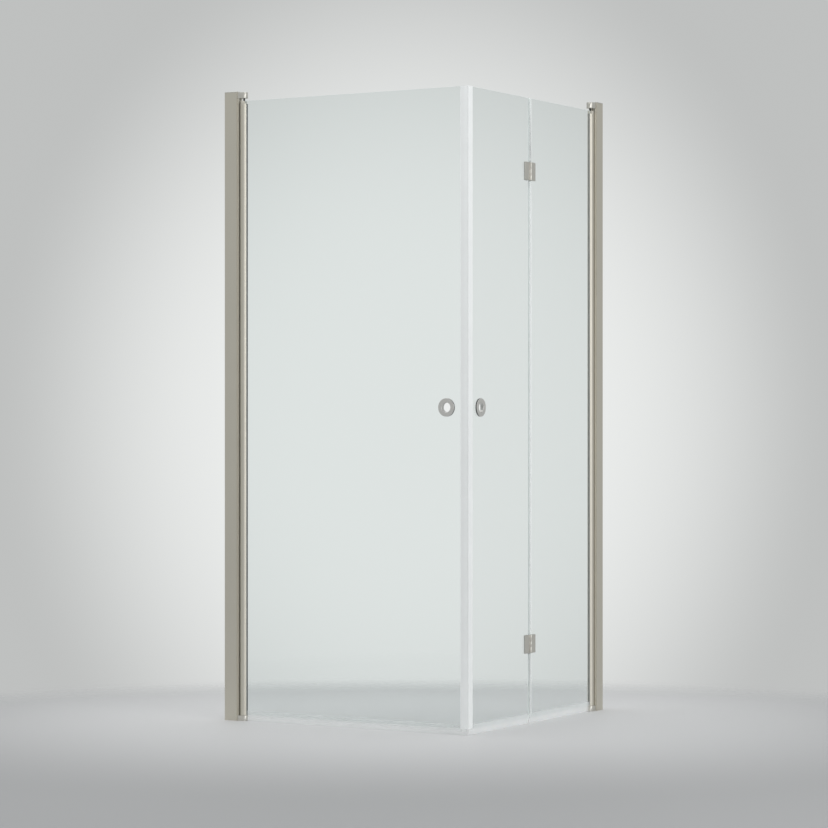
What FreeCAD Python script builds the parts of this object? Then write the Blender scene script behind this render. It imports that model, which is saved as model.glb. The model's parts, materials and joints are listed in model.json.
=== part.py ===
import FreeCAD, Part
import math
import os
import Sketcher

# Corner shower screen for a 90 by 90 cm corner: two doors of clear glass that close against each
# other in a mitred magnet seal. The left door is one leaf. The right door has two leaves, joined
# by two glass hinges, and folds outwards. Each door turns with a round column between two brackets,
# and helical cams in the foot lift it as it opens, so that its seal clears the floor.
#
# A side is drawn in its own frame, whose origin is the corner where the outer faces of the glass
# meet: X runs along the glass to the wall, Y into the shower and Z up. The right side stands in the
# model turned a quarter. The left side is its mirror image across the vertical plane of the mitre.

# Driving sizes, in millimetres unless the name says otherwise.
SIZES = {
    # The whole screen
    "screen_height": 2000.0,
    "wall_reach": 886.0,
    "glass_thick": 6.0,
    "glass_floor_gap": 20.0,
    "glass_head_room": 30.0,
    "glass_arris": 0.5,
    "overrun": 1.0,
    # Wall channel, cap and adjusting profile
    "channel_width": 48.0,
    "channel_depth": 28.0,
    "channel_wall": 2.0,
    "channel_round": 4.0,
    "cap_thick": 3.0,
    "spigot_depth": 12.0,
    "spigot_width": 9.5,
    "slide_gap": 0.3,
    "wall_hole_bore": 5.0,
    "wall_hole_first": 100.0,
    "wall_hole_last_gap": 97.0,
    "nose_reach": 4.4,
    "nose_thick": 4.4,
    "nose_skin": 1.4,
    "nose_round": 1.0,
    "adjusting_width": 42.4,
    "adjusting_wall": 1.8,
    "port_bore": 3.5,
    "port_wall": 1.65,
    "port_inset": 12.0,
    "port_slit": 1.6,
    "seal_slit": 2.0,
    "seal_chamber_width": 7.0,
    # Column, its plug and the gasket that holds the glass
    "axis_to_wall": 67.0,
    "column_bore": 24.0,
    "column_cavity": 19.2,
    "column_head_room": 10.0,
    "slot_floor": 5.4,
    "slot_web": 1.0,
    "strip_wall": 1.0,
    "strip_floor": 0.6,
    "strip_lip": 0.8,
    "strip_lip_reach": 1.1,
    "plug_gap": 0.2,
    "plug_depth": 20.0,
    "plug_head": 9.5,
    "plug_head_width": 22.6,
    "plug_bevel": 1.5,
    # Brackets, pin and post
    "bracket_reach": 51.0,
    "top_bracket_height": 19.0,
    "bottom_bracket_height": 17.0,
    "bracket_gap": 0.3,
    "pin_width": 6.0,
    "running_gap": 0.05,
    "pin_flats": 4.4,
    "pin_head_width": 12.0,
    "pin_head_thick": 4.0,
    "pin_head_recess": 5.0,
    "pin_head_gap": 0.1,
    "pin_end_above_plug": 6.0,
    "cup_width": 19.6,
    "cup_floor": 2.5,
    "post_height": 50.0,
    "post_flats": 5.2,
    "post_head_width": 10.0,
    "post_head_thick": 1.2,
    # Lifting cams
    "cam_pitch": 24.0,
    "cam_base": 2.5,
    "cam_width": 19.0,
    "cam_bore": 6.4,
    "cam_gap": 0.25,
    "cam_turn_gap_degrees": 2.0,
    "cam_flange": 2.5,
    "cam_plug": 30.0,
    # Seals
    "magnet_clip_wall": 1.4,
    "magnet_clip_reach": 12.0,
    "magnet_glass_inset": 14.0,
    "magnet_nose": 1.2,
    "mitre_gap": 0.2,
    "magnet_from_corner": 4.5,
    "magnet_skin": 1.0,
    "magnet_width": 7.0,
    "magnet_thick": 2.0,
    "magnet_fit": 0.05,
    "seal_skin": 1.0,
    "sweep_wall": 1.2,
    "sweep_clip_height": 12.0,
    "sweep_end_gap": 0.8,
    "sweep_floor_gap": 1.0,
    "sweep_fin_tip": 0.8,
    "sweep_lip_reach": 3.0,
    "sweep_lip_drop": 9.0,
    "sweep_fin_corner_inset": 5.0,
    "fold_clip_reach": 11.4,
    "fold_fin_gap": 0.4,
    "fold_fin_inset": 1.5,
    "column_seal_gap": 0.4,
    "column_seal_neck": 1.6,
    "column_seal_bulb": 3.6,
    "column_seal_foot": 6.0,
    "column_seal_foot_thick": 1.2,
    # Fold line, glass hinges and their fasteners
    "fold_line": 390.8,
    "fold_gap": 6.0,
    "hinge_height": 57.0,
    "hinge_from_end": 231.0,
    "hinge_reach": 33.8,
    "hinge_plate_edge": 3.9,
    "hinge_plate_thick": 5.0,
    "hinge_dome_round": 120.0,
    "hinge_pad": 0.8,
    "hinge_pin_drop": 6.0,
    "hinge_pin_width": 4.4,
    "knuckle_width": 8.4,
    "knuckle_clearance": 0.3,
    "middle_knuckle": 18.8,
    "knuckle_gap": 0.2,
    "clamp_reach": 21.5,
    "clamp_thick": 4.0,
    "hinge_screw_across": 14.0,
    "hinge_screw_spacing": 34.0,
    "hinge_screw_width": 5.0,
    "hinge_screw_bite": 3.4,
    "hinge_screw_head_width": 9.0,
    "hinge_screw_head_thick": 2.5,
    "glass_screw_bore": 10.0,
    "screw_gap": 0.1,
    "clamp_bevel": 2.0,
    # Ring handles
    "ring_from_edge": 74.0,
    "ring_centre_height": 995.0,
    "ring_width": 56.0,
    "ring_bore": 29.5,
    "ring_thick": 5.0,
    "ring_bevel_across": 5.0,
    "ring_bevel_deep": 1.0,
    "ring_seat": 3.6,
    "inner_rim_width": 40.0,
    "inner_rim_thick": 1.2,
    "sleeve_wall": 2.2,
    "ring_glass_bore": 35.0,
    # Screws of the profiles and brackets
    "lock_screw_width": 3.2,
    "lock_screw_head_width": 7.0,
    "lock_screw_head_thick": 2.2,
    "lock_screw_length": 9.0,
    "lock_screw_first": 150.0,
    "lock_screw_last_gap": 147.0,
    "lock_screw_inset": 24.0,
    "lock_clearance_bore": 4.2,
    "bracket_screw_width": 3.3,
    "bracket_screw_head_width": 7.5,
    "bracket_screw_head_thick": 2.6,
    "bracket_screw_recess": 3.0,
    "bracket_screw_bite": 18.0,
    "bracket_clearance_bore": 4.3,
}

doc = FreeCAD.newDocument("shower_screen")
sheet = doc.addObject("Spreadsheet::Sheet", "sizes")
for row, (alias, number) in enumerate(SIZES.items(), start=1):
    sheet.set("A%d" % row, alias)
    sheet.set("B%d" % row, repr(number))
    sheet.setAlias("B%d" % row, alias)
doc.recompute()


# Sizes that know their expression
class Size:
    """A size worked out from the cells of the sheet: its value, and the expression that gives it."""

    def __init__(self, value, text):
        self.value = value
        self.text = text

    def __add__(self, other):
        other = as_size(other)
        return Size(self.value + other.value, "(%s + %s)" % (self.text, other.text))

    def __sub__(self, other):
        other = as_size(other)
        return Size(self.value - other.value, "(%s - %s)" % (self.text, other.text))

    def __mul__(self, other):
        other = as_size(other)
        return Size(self.value * other.value, "(%s * %s)" % (self.text, other.text))

    def __truediv__(self, other):
        other = as_size(other)
        return Size(self.value / other.value, "(%s / %s)" % (self.text, other.text))

    def __neg__(self):
        return Size(-self.value, "(0 - %s)" % self.text)


def as_size(number):
    """A plain number joins in a sum as it is."""
    if isinstance(number, Size):
        return number
    return Size(float(number), repr(float(number)))


def root(size):
    return Size(math.sqrt(size.value), "sqrt(%s)" % size.text)


def half_chord(radius, offset):
    """How far a circle reaches along a line that passes its centre at the given offset."""
    return root(radius * radius - offset * offset)


class Cells:
    """The cells of the sheet by their alias."""

    def __getattr__(self, alias):
        return Size(SIZES[alias], "sizes.%s" % alias)


size = Cells()


def bind(thing, path, amount):
    """Tie one property of an object to the sheet."""
    thing.setExpression(path, as_size(amount).text)


# Places in a side's frame that several pieces share
glass_mid = size.glass_thick / 2
glass_bottom = size.glass_floor_gap
glass_top = size.screen_height - size.glass_head_room
glass_height = glass_top - glass_bottom
channel_front = size.wall_reach - size.channel_width
channel_top = size.screen_height - size.cap_thick
channel_half = size.channel_depth / 2
wall_hole_span = channel_top - size.wall_hole_first - size.wall_hole_last_gap
lock_screw_span = channel_top - size.lock_screw_first - size.lock_screw_last_gap
nose_front = channel_front - size.nose_reach
nose_back = nose_front + size.nose_thick
adjusting_half = channel_half - size.channel_wall - size.slide_gap
adjusting_back = nose_front + size.adjusting_width
axis_along = size.wall_reach - size.axis_to_wall
column_half = size.column_bore / 2
cavity_half = size.column_cavity / 2
slot_half = glass_mid + size.strip_wall
slot_mouth = half_chord(column_half, slot_half)
cavity_flat = size.slot_floor - size.slot_web
column_top = glass_top - size.column_head_room
glass_edge = axis_along - size.slot_floor - size.strip_floor
top_bracket_bottom = channel_top - size.top_bracket_height
bracket_half = adjusting_half
port_along = nose_back + size.port_inset
port_across = adjusting_half - size.adjusting_wall - size.port_bore / 2 - size.port_wall / 2
pin_half = size.pin_width / 2
running_bore = size.pin_width + size.running_gap * 2
ramp_rise = size.cam_pitch / 2
free_edge = size.fold_line - size.fold_gap / 2
wall_edge = size.fold_line + size.fold_gap / 2
hinge_low = glass_bottom + size.hinge_from_end
hinge_high = glass_top - size.hinge_from_end
knuckle_half = size.knuckle_width / 2
knuckle_room = knuckle_half + size.knuckle_clearance
corner_along = (size.wall_reach - channel_half + glass_mid) / 2

# Sides of the small screws, of the holes that they go through and of the sleeves in the ring handles
SCREW_SIDES = 6
HOLE_SIDES = 8
SLEEVE_SIDES = 24


# Sketches and features
def origin_plane(body, role):
    """One of the body's own origin planes or axes."""
    return [feature for feature in body.Origin.OriginFeatures if feature.Role == role][0]


def new_body(label, along=0, across=0, up=0, turn_degrees=0):
    """A body of the right side, its origin at a place in the side's frame."""
    body = doc.addObject("PartDesign::Body", label)
    body.Label = label
    body.AllowCompound = True
    turn = FreeCAD.Rotation(FreeCAD.Vector(0, 0, 1), 90 + turn_degrees)
    body.Placement = FreeCAD.Placement(FreeCAD.Vector(0, 0, 0), turn)
    bind(body, "Placement.Base.x", corner_along - across)
    bind(body, "Placement.Base.y", as_size(along) - corner_along)
    bind(body, "Placement.Base.z", up)
    return body


def arc_between(start, end, radius):
    """A minor arc; a positive radius turns left on the way from start to end."""
    chord = end - start
    middle = (start + end) * 0.5
    to_left = FreeCAD.Vector(-chord.y, chord.x, 0).normalize()
    rise = math.sqrt(max(radius * radius - chord.Length * chord.Length / 4, 0.0))
    centre = middle + to_left * math.copysign(rise, radius)
    circle = Part.Circle(centre, FreeCAD.Vector(0, 0, 1), abs(radius))
    first, last = (start, end) if radius > 0 else (end, start)
    return Part.ArcOfCircle(circle, circle.parameter(first), circle.parameter(last))


def new_sketch(body, name, role="XY_Plane", offset=0):
    sketch = body.newObject("Sketcher::SketchObject", name)
    sketch.AttachmentSupport = [(origin_plane(body, role), "")]
    sketch.MapMode = "FlatFace"
    bind(sketch, "AttachmentOffset.Base.z", offset)
    return sketch


def dimension(sketch, kind, places, amount):
    """A driving dimension of a sketch, tied to the sheet."""
    amount = as_size(amount)
    index = sketch.addConstraint(Sketcher.Constraint(kind, *places, amount.value))
    sketch.setExpression("Constraints[%d]" % index, amount.text)


def loop(sketch, corners):
    """A closed outline. A corner is (x, y); with a third size, the edge that leaves it is an arc."""
    first = sketch.GeometryCount
    count = len(corners)
    points = [FreeCAD.Vector(as_size(c[0]).value, as_size(c[1]).value, 0) for c in corners]
    starts = []
    for number, corner in enumerate(corners):
        start, end = points[number], points[(number + 1) % count]
        if len(corner) == 3:
            radius = corner[2]
            sketch.addGeometry(arc_between(start, end, radius.value), False)
            starts.append(1 if radius.value > 0 else 2)
        else:
            sketch.addGeometry(Part.LineSegment(start, end), False)
            starts.append(1)
    for number, corner in enumerate(corners):
        edge, following = first + number, first + (number + 1) % count
        end_point = 3 - starts[number]
        next_point = starts[(number + 1) % count]
        sketch.addConstraint(Sketcher.Constraint("Coincident", edge, end_point, following, next_point))
    for number, corner in enumerate(corners):
        place = (-1, 1, first + number, starts[number])
        dimension(sketch, "DistanceX", place, corner[0])
        dimension(sketch, "DistanceY", place, corner[1])
        if len(corner) == 3:
            radius = corner[2] if corner[2].value > 0 else -corner[2]
            dimension(sketch, "Radius", (first + number,), radius)


def box_loop(sketch, low, high):
    """A rectangle between two opposite corners."""
    loop(sketch, [low, (high[0], low[1]), high, (low[0], high[1])])


def ring_loop(sketch, across, up, width):
    """A whole circle of the given diameter."""
    index = sketch.GeometryCount
    centre = FreeCAD.Vector(as_size(across).value, as_size(up).value, 0)
    circle = Part.Circle(centre, FreeCAD.Vector(0, 0, 1), width.value / 2)
    sketch.addGeometry(circle, False)
    dimension(sketch, "DistanceX", (-1, 1, index, 3), across)
    dimension(sketch, "DistanceY", (-1, 1, index, 3), up)
    dimension(sketch, "Diameter", (index,), width)


def polygon_loop(sketch, across, up, width, sides):
    """A regular polygon round a circle of the given diameter."""
    radius = width / 2 / math.cos(math.pi / sides)
    corners = []
    for number in range(sides):
        angle = math.pi * (2 * number + 1) / sides
        corners.append((radius * math.cos(angle) + across, radius * math.sin(angle) + up))
    loop(sketch, corners)


def pad(body, name, sketch, length, both_ways=False):
    """Material along the sketch's normal, or half of it each way."""
    feature = body.newObject("PartDesign::Pad", name)
    feature.Profile = sketch
    feature.SideType = "Symmetric" if both_ways else "One side"
    bind(feature, "Length", length)
    return feature


def cut(body, name, sketch, length):
    """A cut of the given length, centred on the sketch."""
    feature = body.newObject("PartDesign::Pocket", name)
    feature.Profile = sketch
    feature.SideType = "Symmetric"
    bind(feature, "Length", length)
    return feature


def revolve(body, name, sketch):
    """A full turn of the sketch about its own vertical axis."""
    feature = body.newObject("PartDesign::Revolution", name)
    feature.Profile = sketch
    feature.ReferenceAxis = (sketch, ["V_Axis"])
    feature.Angle = 360


def row_of(body, name, features, axis_role, length, count):
    """Copies of features in a straight row."""
    pattern = body.newObject("PartDesign::LinearPattern", name)
    pattern.Originals = features
    pattern.Direction = (origin_plane(body, axis_role), [""])
    bind(pattern, "Length", length)
    pattern.Occurrences = count
    body.Tip = pattern
    return pattern


def level_sketch(body, name, role, place):
    """A sketch at a place along the body's own X, Y or Z; the XZ plane faces backwards."""
    return new_sketch(body, name, role, -as_size(place) if role == "XZ_Plane" else place)


def drilled(body, name, role, depth_place, holes, length):
    """Round holes through a wall whose middle is at depth_place; each hole is (x, y, diameter)."""
    sketch = level_sketch(body, name + "_plan", role, depth_place)
    for across, up, width in holes:
        ring_loop(sketch, across, up, width)
    return cut(body, name, sketch, length)


def screw_holes(body, name, role, depth_place, holes, length):
    """Holes for small screws, cut as polygons that stay outside the given diameter."""
    sketch = level_sketch(body, name + "_plan", role, depth_place)
    for across, up, width in holes:
        polygon_loop(sketch, across, up, width, HOLE_SIDES)
    return cut(body, name, sketch, length)


def prism(body, name, role, start, end, width):
    """A six-sided length of a screw between two places along its axis, inside the given diameter."""
    sketch = level_sketch(body, name + "_section", role, (as_size(start) + end) / 2)
    inside = width * math.cos(math.pi / SCREW_SIDES)
    polygon_loop(sketch, 0, 0, inside, SCREW_SIDES)
    span = as_size(end) - start
    return pad(body, name, sketch, span if span.value > 0 else -span, both_ways=True)


def screw(body, role, tip, seat, top, shank_width, head_width):
    """A screw along one of the body's axes: its shank from tip to seat and its head from there."""
    shank = prism(body, "shank", role, tip, seat, shank_width)
    head = prism(body, "head", role, seat, top, head_width)
    return [shank, head]


def mirrored(source, label):
    """The left side's piece: the right one's mirror image across the plane of the mitre."""
    piece = doc.addObject("Part::Mirroring", label)
    piece.Label = label
    piece.Source = source
    piece.Normal = FreeCAD.Vector(1, 1, 0)
    piece.Base = FreeCAD.Vector(corner_along.value, -corner_along.value, 0)
    bind(piece, "Base.x", corner_along)
    bind(piece, "Base.y", -corner_along)
    return piece


def group(label, pieces):
    """Equal pieces in one node, as separate solids."""
    piece = doc.addObject("Part::Compound", label)
    piece.Label = label
    piece.Links = pieces
    return piece


# Wall profiles
def wall_channel(label):
    """U-shaped extrusion screwed to the wall, its two outer edges rounded."""
    body = new_body(label, along=0, across=glass_mid)
    inner_half = channel_half - size.channel_wall
    inner_web = size.wall_reach - size.channel_wall
    inner_round = size.channel_round - size.channel_wall
    round_along = size.wall_reach - size.channel_round
    sketch = new_sketch(body, "channel_section")
    loop(sketch, [
        (channel_front, -channel_half),
        (round_along, -channel_half, size.channel_round),
        (size.wall_reach, -channel_half + size.channel_round),
        (size.wall_reach, channel_half - size.channel_round, size.channel_round),
        (round_along, channel_half),
        (channel_front, channel_half),
        (channel_front, inner_half),
        (round_along, inner_half, -inner_round),
        (inner_web, channel_half - size.channel_round),
        (inner_web, -channel_half + size.channel_round, -inner_round),
        (round_along, -inner_half),
        (channel_front, -inner_half),
    ])
    pad(body, "channel_extrusion", sketch, channel_top)
    first = drilled(body, "wall_hole", "YZ_Plane", size.wall_reach - size.channel_wall / 2,
                    [(0, size.wall_hole_first, size.wall_hole_bore)],
                    size.channel_wall + size.overrun * 2)
    row_of(body, "wall_hole_row", [first], "Z_Axis", wall_hole_span, 4)
    lock = screw_holes(body, "lock_hole", "XZ_Plane", channel_half - size.channel_wall / 2,
                       [(channel_front + size.lock_screw_inset, size.lock_screw_first,
                         size.lock_clearance_bore)],
                       size.channel_wall + size.overrun * 2)
    row_of(body, "lock_hole_row", [lock], "Z_Axis", lock_screw_span, 3)
    return body


def adjusting_profile(label):
    """Extrusion that slides in the channel to take up a wall that is out of plumb."""
    body = new_body(label, along=0, across=glass_mid)
    inner_half = adjusting_half - size.adjusting_wall
    bottom = size.bottom_bracket_height + size.bracket_gap
    length = top_bracket_bottom - size.bracket_gap - bottom
    sketch = new_sketch(body, "profile_section", offset=bottom)
    loop(sketch, [
        (nose_front + size.nose_round, -adjusting_half),
        (adjusting_back, -adjusting_half),
        (adjusting_back, -inner_half),
        (nose_back, -inner_half),
        (nose_back, inner_half),
        (adjusting_back, inner_half),
        (adjusting_back, adjusting_half),
        (nose_front + size.nose_round, adjusting_half, size.nose_round),
        (nose_front, adjusting_half - size.nose_round),
        (nose_front, -adjusting_half + size.nose_round, size.nose_round),
    ])
    pad(body, "profile_extrusion", sketch, length)
    ports = new_sketch(body, "port_walls", offset=bottom)
    port_half = size.port_bore / 2 + size.port_wall
    for side in (-1, 1):
        box_loop(ports, (port_along - port_half, (port_across - port_half) * side),
                 (port_along + port_half, (inner_half + size.nose_round / 2) * side))
    pad(body, "screw_ports", ports, length)
    bores = [(port_along, across, size.port_bore) for across in (-port_across, port_across)]
    screw_holes(body, "screw_port_bores", "XY_Plane", bottom + length / 2, bores,
                length + size.overrun * 2)
    slits = new_sketch(body, "port_slits", offset=bottom + length / 2)
    slit_reach = size.port_bore / 2 + size.port_wall + size.overrun
    for side in (-1, 1):
        middle = port_across * side
        box_loop(slits, (port_along - size.port_slit / 2, middle - slit_reach * side),
                 (port_along + size.port_slit / 2, middle))
    cut(body, "screw_port_slits", slits, length + size.overrun * 2)
    slot = new_sketch(body, "seal_slot", offset=bottom + length / 2)
    slit_half = size.seal_slit / 2
    chamber_half = size.seal_chamber_width / 2
    chamber_front = nose_front + size.nose_skin
    chamber_back = nose_back - size.nose_skin
    loop(slot, [
        (nose_front - size.overrun, -slit_half),
        (chamber_front, -slit_half),
        (chamber_front, -chamber_half),
        (chamber_back, -chamber_half),
        (chamber_back, chamber_half),
        (chamber_front, chamber_half),
        (chamber_front, slit_half),
        (nose_front - size.overrun, slit_half),
    ])
    cut(body, "seal_groove", slot, length + size.overrun * 2)
    lock = screw_holes(body, "lock_bore", "XZ_Plane", adjusting_half - size.adjusting_wall / 2,
                       [(channel_front + size.lock_screw_inset, size.lock_screw_first,
                         size.lock_screw_width + size.screw_gap)],
                       size.adjusting_wall + size.overrun)
    row_of(body, "lock_bore_row", [lock], "Z_Axis", lock_screw_span, 3)
    return body


def channel_cap(label):
    """Plate over the channel's top, with a spigot that grips behind the adjusting profile."""
    body = new_body(label, along=0, across=glass_mid)
    round_along = size.wall_reach - size.channel_round
    plate = new_sketch(body, "cap_outline", offset=channel_top)
    loop(plate, [
        (channel_front, -channel_half),
        (round_along, -channel_half, size.channel_round),
        (size.wall_reach, -channel_half + size.channel_round),
        (size.wall_reach, channel_half - size.channel_round, size.channel_round),
        (round_along, channel_half),
        (channel_front, channel_half),
    ])
    pad(body, "cap_plate", plate, size.cap_thick)
    spigot = new_sketch(body, "spigot_outline", offset=channel_top - size.spigot_depth)
    spigot_half = channel_half - size.channel_wall - size.plug_gap
    box_loop(spigot, (round_along - size.spigot_width, -spigot_half), (round_along, spigot_half))
    pad(body, "cap_spigot", spigot, size.spigot_depth)
    return body


def column_seal(label):
    """Soft seal in the adjusting profile's groove, its bulb against the column."""
    body = new_body(label, along=0, across=glass_mid)
    neck_half = size.column_seal_neck / 2
    bulb_half = size.column_seal_bulb / 2
    foot_half = size.column_seal_foot / 2
    bulb_front = axis_along + column_half + size.column_seal_gap
    foot_front = nose_front + size.nose_skin + size.magnet_fit
    sketch = new_sketch(body, "seal_section", offset=glass_bottom)
    loop(sketch, [
        (bulb_front, -bulb_half),
        (nose_front - size.magnet_fit, -bulb_half),
        (nose_front - size.magnet_fit, -neck_half),
        (foot_front, -neck_half),
        (foot_front, -foot_half),
        (foot_front + size.column_seal_foot_thick, -foot_half),
        (foot_front + size.column_seal_foot_thick, foot_half),
        (foot_front, foot_half),
        (foot_front, neck_half),
        (nose_front - size.magnet_fit, neck_half),
        (nose_front - size.magnet_fit, bulb_half),
        (bulb_front, bulb_half),
    ])
    pad(body, "seal_length", sketch, column_top - glass_bottom)
    return body


# Brackets that carry the column
def bracket_outline(sketch):
    """Plan of a bracket about the column's axis: a round nose and straight sides to the wall."""
    loop(sketch, [
        (0, -bracket_half),
        (size.bracket_reach, -bracket_half),
        (size.bracket_reach, bracket_half),
        (0, bracket_half, bracket_half),
        (-bracket_half, 0, bracket_half),
    ])


def bracket_screw_holes(body, name, height, recess_middle):
    """Clearance holes over the screw ports, with recesses for the heads at one face."""
    along = port_along - axis_along
    for hole_name, width, middle, length in (
            ("_shank", size.bracket_clearance_bore, height / 2, height + size.overrun * 2),
            ("_recess", size.bracket_screw_head_width + size.screw_gap * 2, recess_middle,
             size.bracket_screw_recess * 2)):
        holes = [(along, across, width) for across in (-port_across, port_across)]
        screw_holes(body, name + hole_name, "XY_Plane", middle, holes, length)


def top_bracket(label):
    """Bracket at the channel's top, bored for the pin that the column turns with."""
    height = size.top_bracket_height
    body = new_body(label, axis_along, glass_mid, top_bracket_bottom)
    plan = new_sketch(body, "bracket_plan")
    bracket_outline(plan)
    pad(body, "bracket_block", plan, height)
    drilled(body, "pin_bore", "XY_Plane", height / 2, [(0, 0, running_bore)],
            height + size.overrun * 2)
    drilled(body, "pin_head_recess", "XY_Plane", height,
            [(0, 0, size.pin_head_width + size.screw_gap * 2)], size.pin_head_recess * 2)
    bracket_screw_holes(body, "screw", height, height)
    return body


def bottom_bracket(label):
    """Bracket at the floor, with the cup that the cams work in."""
    height = size.bottom_bracket_height
    body = new_body(label, axis_along, glass_mid)
    plan = new_sketch(body, "bracket_plan")
    bracket_outline(plan)
    pad(body, "bracket_block", plan, height)
    drilled(body, "cam_cup", "XY_Plane", height, [(0, 0, size.cup_width)],
            (height - size.cup_floor) * 2)
    post = new_sketch(body, "post_bore_plan")
    polygon_loop(post, 0, 0, size.post_flats, SCREW_SIDES)
    cut(body, "post_bore", post, (height + size.overrun) * 2)
    screw_holes(body, "post_head_recess", "XY_Plane", 0, [(0, 0, size.post_head_width)],
                size.post_head_thick * 2)
    bracket_screw_holes(body, "screw", height, 0)
    return body


def top_pin(label):
    """Headed pin that hangs in the top bracket; its two flats slide in the column's plug."""
    head_bottom = channel_top - size.pin_head_recess + size.pin_head_gap
    plug_bottom = column_top - size.plug_depth
    pin_bottom = plug_bottom + size.pin_end_above_plug
    flats_top = top_bracket_bottom - size.bracket_gap
    body = new_body(label, axis_along, glass_mid)
    shank = new_sketch(body, "shank_section", offset=pin_bottom)
    ring_loop(shank, 0, 0, size.pin_width)
    pad(body, "shank", shank, head_bottom - pin_bottom)
    prism(body, "head", "XY_Plane", head_bottom, head_bottom + size.pin_head_thick, size.pin_head_width)
    flats = new_sketch(body, "flats_section", offset=pin_bottom)
    for side in (-1, 1):
        box_loop(flats, (-size.pin_width, size.pin_flats / 2 * side), (size.pin_width, size.pin_width * side))
    cut(body, "flats", flats, (flats_top - pin_bottom) * 2)
    return body


def pivot_post(label):
    """Six-sided post that the cams sit on, its head let into the underside of the bottom bracket."""
    body = new_body(label, axis_along, glass_mid)
    shank = new_sketch(body, "shank_section")
    polygon_loop(shank, 0, 0, size.post_flats, SCREW_SIDES)
    pad(body, "shank", shank, size.post_height)
    prism(body, "head", "XY_Plane", 0, size.post_head_thick, size.post_head_width)
    return body


# Lifting cams
def ramps(body, low, high):
    """Two helical ramps of half a turn each; low and high bound the section at their start."""
    section = new_sketch(body, "ramp_section", "XZ_Plane")
    box_loop(section, (size.cam_bore / 2, low), (size.cam_width / 2, high))
    ramp = body.newObject("PartDesign::AdditiveHelix", "ramp")
    ramp.Profile = section
    ramp.ReferenceAxis = (section, ["V_Axis"])
    ramp.Mode = 0
    bind(ramp, "Pitch", size.cam_pitch)
    bind(ramp, "Height", ramp_rise)
    pair = body.newObject("PartDesign::PolarPattern", "ramp_pair")
    pair.Originals = [ramp]
    pair.Axis = (section, ["V_Axis"])
    pair.Angle = 360
    pair.Occurrences = 2
    body.Tip = pair


def level_off(body, name, low, high):
    """Cut away what stands between two levels."""
    sketch = new_sketch(body, name + "_plan", offset=(low + high) / 2)
    ring_loop(sketch, 0, 0, size.cam_width + size.overrun * 2)
    cut(body, name, sketch, high - low)


def lower_cam(label):
    """Fixed cam in the bracket's cup: two right-handed ramps on a flat ring."""
    body = new_body(label, axis_along, glass_mid, turn_degrees=-SIZES["cam_turn_gap_degrees"])
    ramp_low = size.cup_floor + size.cam_base
    ramps(body, ramp_low - ramp_rise - size.cam_gap, ramp_low)
    base = new_sketch(body, "base_section", offset=size.cup_floor)
    ring_loop(base, 0, 0, size.cam_width)
    ring_loop(base, 0, 0, size.cam_bore)
    pad(body, "base_ring", base, size.cam_base)
    level_off(body, "flat_foot", size.cup_floor - ramp_rise, size.cup_floor)
    return body


def upper_cam(label):
    """Turning cam: ramps that ride on the lower ones, a flange and a plug in the column."""
    body = new_body(label, axis_along, glass_mid)
    turned_rise = size.cam_pitch * size.cam_turn_gap_degrees / 360
    ramp_low = size.cup_floor + size.cam_base + turned_rise + size.cam_gap
    ramps(body, ramp_low, ramp_low + ramp_rise + size.cam_flange)
    level_off(body, "flat_top", glass_bottom, glass_bottom + ramp_rise + size.cam_flange)
    flange = new_sketch(body, "flange_section", offset=glass_bottom - size.cam_flange)
    ring_loop(flange, 0, 0, size.column_bore)
    ring_loop(flange, 0, 0, running_bore)
    pad(body, "flange", flange, size.cam_flange)
    plug = new_sketch(body, "plug_section", offset=glass_bottom)
    plug_outline(plug, cavity_half - size.plug_gap, cavity_flat - size.plug_gap)
    ring_loop(plug, 0, 0, running_bore)
    pad(body, "plug", plug, size.cam_plug)
    return body


def plug_outline(sketch, radius, flat):
    """A circle with one flat, towards the glass."""
    reach = half_chord(radius, flat)
    loop(sketch, [
        (-flat, -reach, radius),
        (radius, 0, radius),
        (-flat, reach),
    ])


# Columns
def column(label):
    """Round extrusion with a slot for the glass and a cavity for the plugs."""
    body = new_body(label, axis_along, glass_mid)
    sketch = new_sketch(body, "column_section", offset=glass_bottom)
    loop(sketch, [
        (-slot_mouth, -slot_half, column_half),
        (column_half, 0, column_half),
        (-slot_mouth, slot_half),
        (-size.slot_floor, slot_half),
        (-size.slot_floor, -slot_half),
    ])
    plug_outline(sketch, cavity_half, cavity_flat)
    pad(body, "column_extrusion", sketch, column_top - glass_bottom)
    return body


def column_top_plug(label):
    """Plug in the column's top, keyed to the pin, with a bevelled head."""
    body = new_body(label, axis_along, glass_mid, column_top)
    keyed_half = size.pin_flats / 2 + size.running_gap
    plug = new_sketch(body, "plug_section", offset=-size.plug_depth)
    plug_outline(plug, cavity_half - size.plug_gap, cavity_flat - size.plug_gap)
    pad(body, "plug", plug, size.plug_depth)
    head = new_sketch(body, "head_section")
    head_half = size.plug_head_width / 2
    head_flat = size.slot_floor + size.strip_floor / 2
    plug_outline(head, head_half, head_flat)
    head_pad = pad(body, "head", head, size.plug_head)
    doc.recompute()
    rims = rim_edges(head_pad, size.plug_head.value)
    bevel = body.newObject("PartDesign::Chamfer", "head_bevel")
    bevel.Base = (head_pad, rims)
    bind(bevel, "Size", size.plug_bevel)
    body.Tip = bevel
    key_hole = new_sketch(body, "key_hole", offset=(size.plug_head - size.plug_depth) / 2)
    bore_half = pin_half + size.running_gap
    flat_end = half_chord(bore_half, keyed_half)
    loop(key_hole, [
        (flat_end, -keyed_half, bore_half),
        (flat_end, keyed_half),
        (-flat_end, keyed_half, bore_half),
        (-flat_end, -keyed_half),
    ])
    cut(body, "key_bore", key_hole, size.plug_head + size.plug_depth + size.overrun * 2)
    return body


def column_plugs(label):
    """The plugs in the column's two ends: the lower one is the turning cam."""
    return group(label, [upper_cam(label + "_cam"), column_top_plug(label + "_top")])


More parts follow.
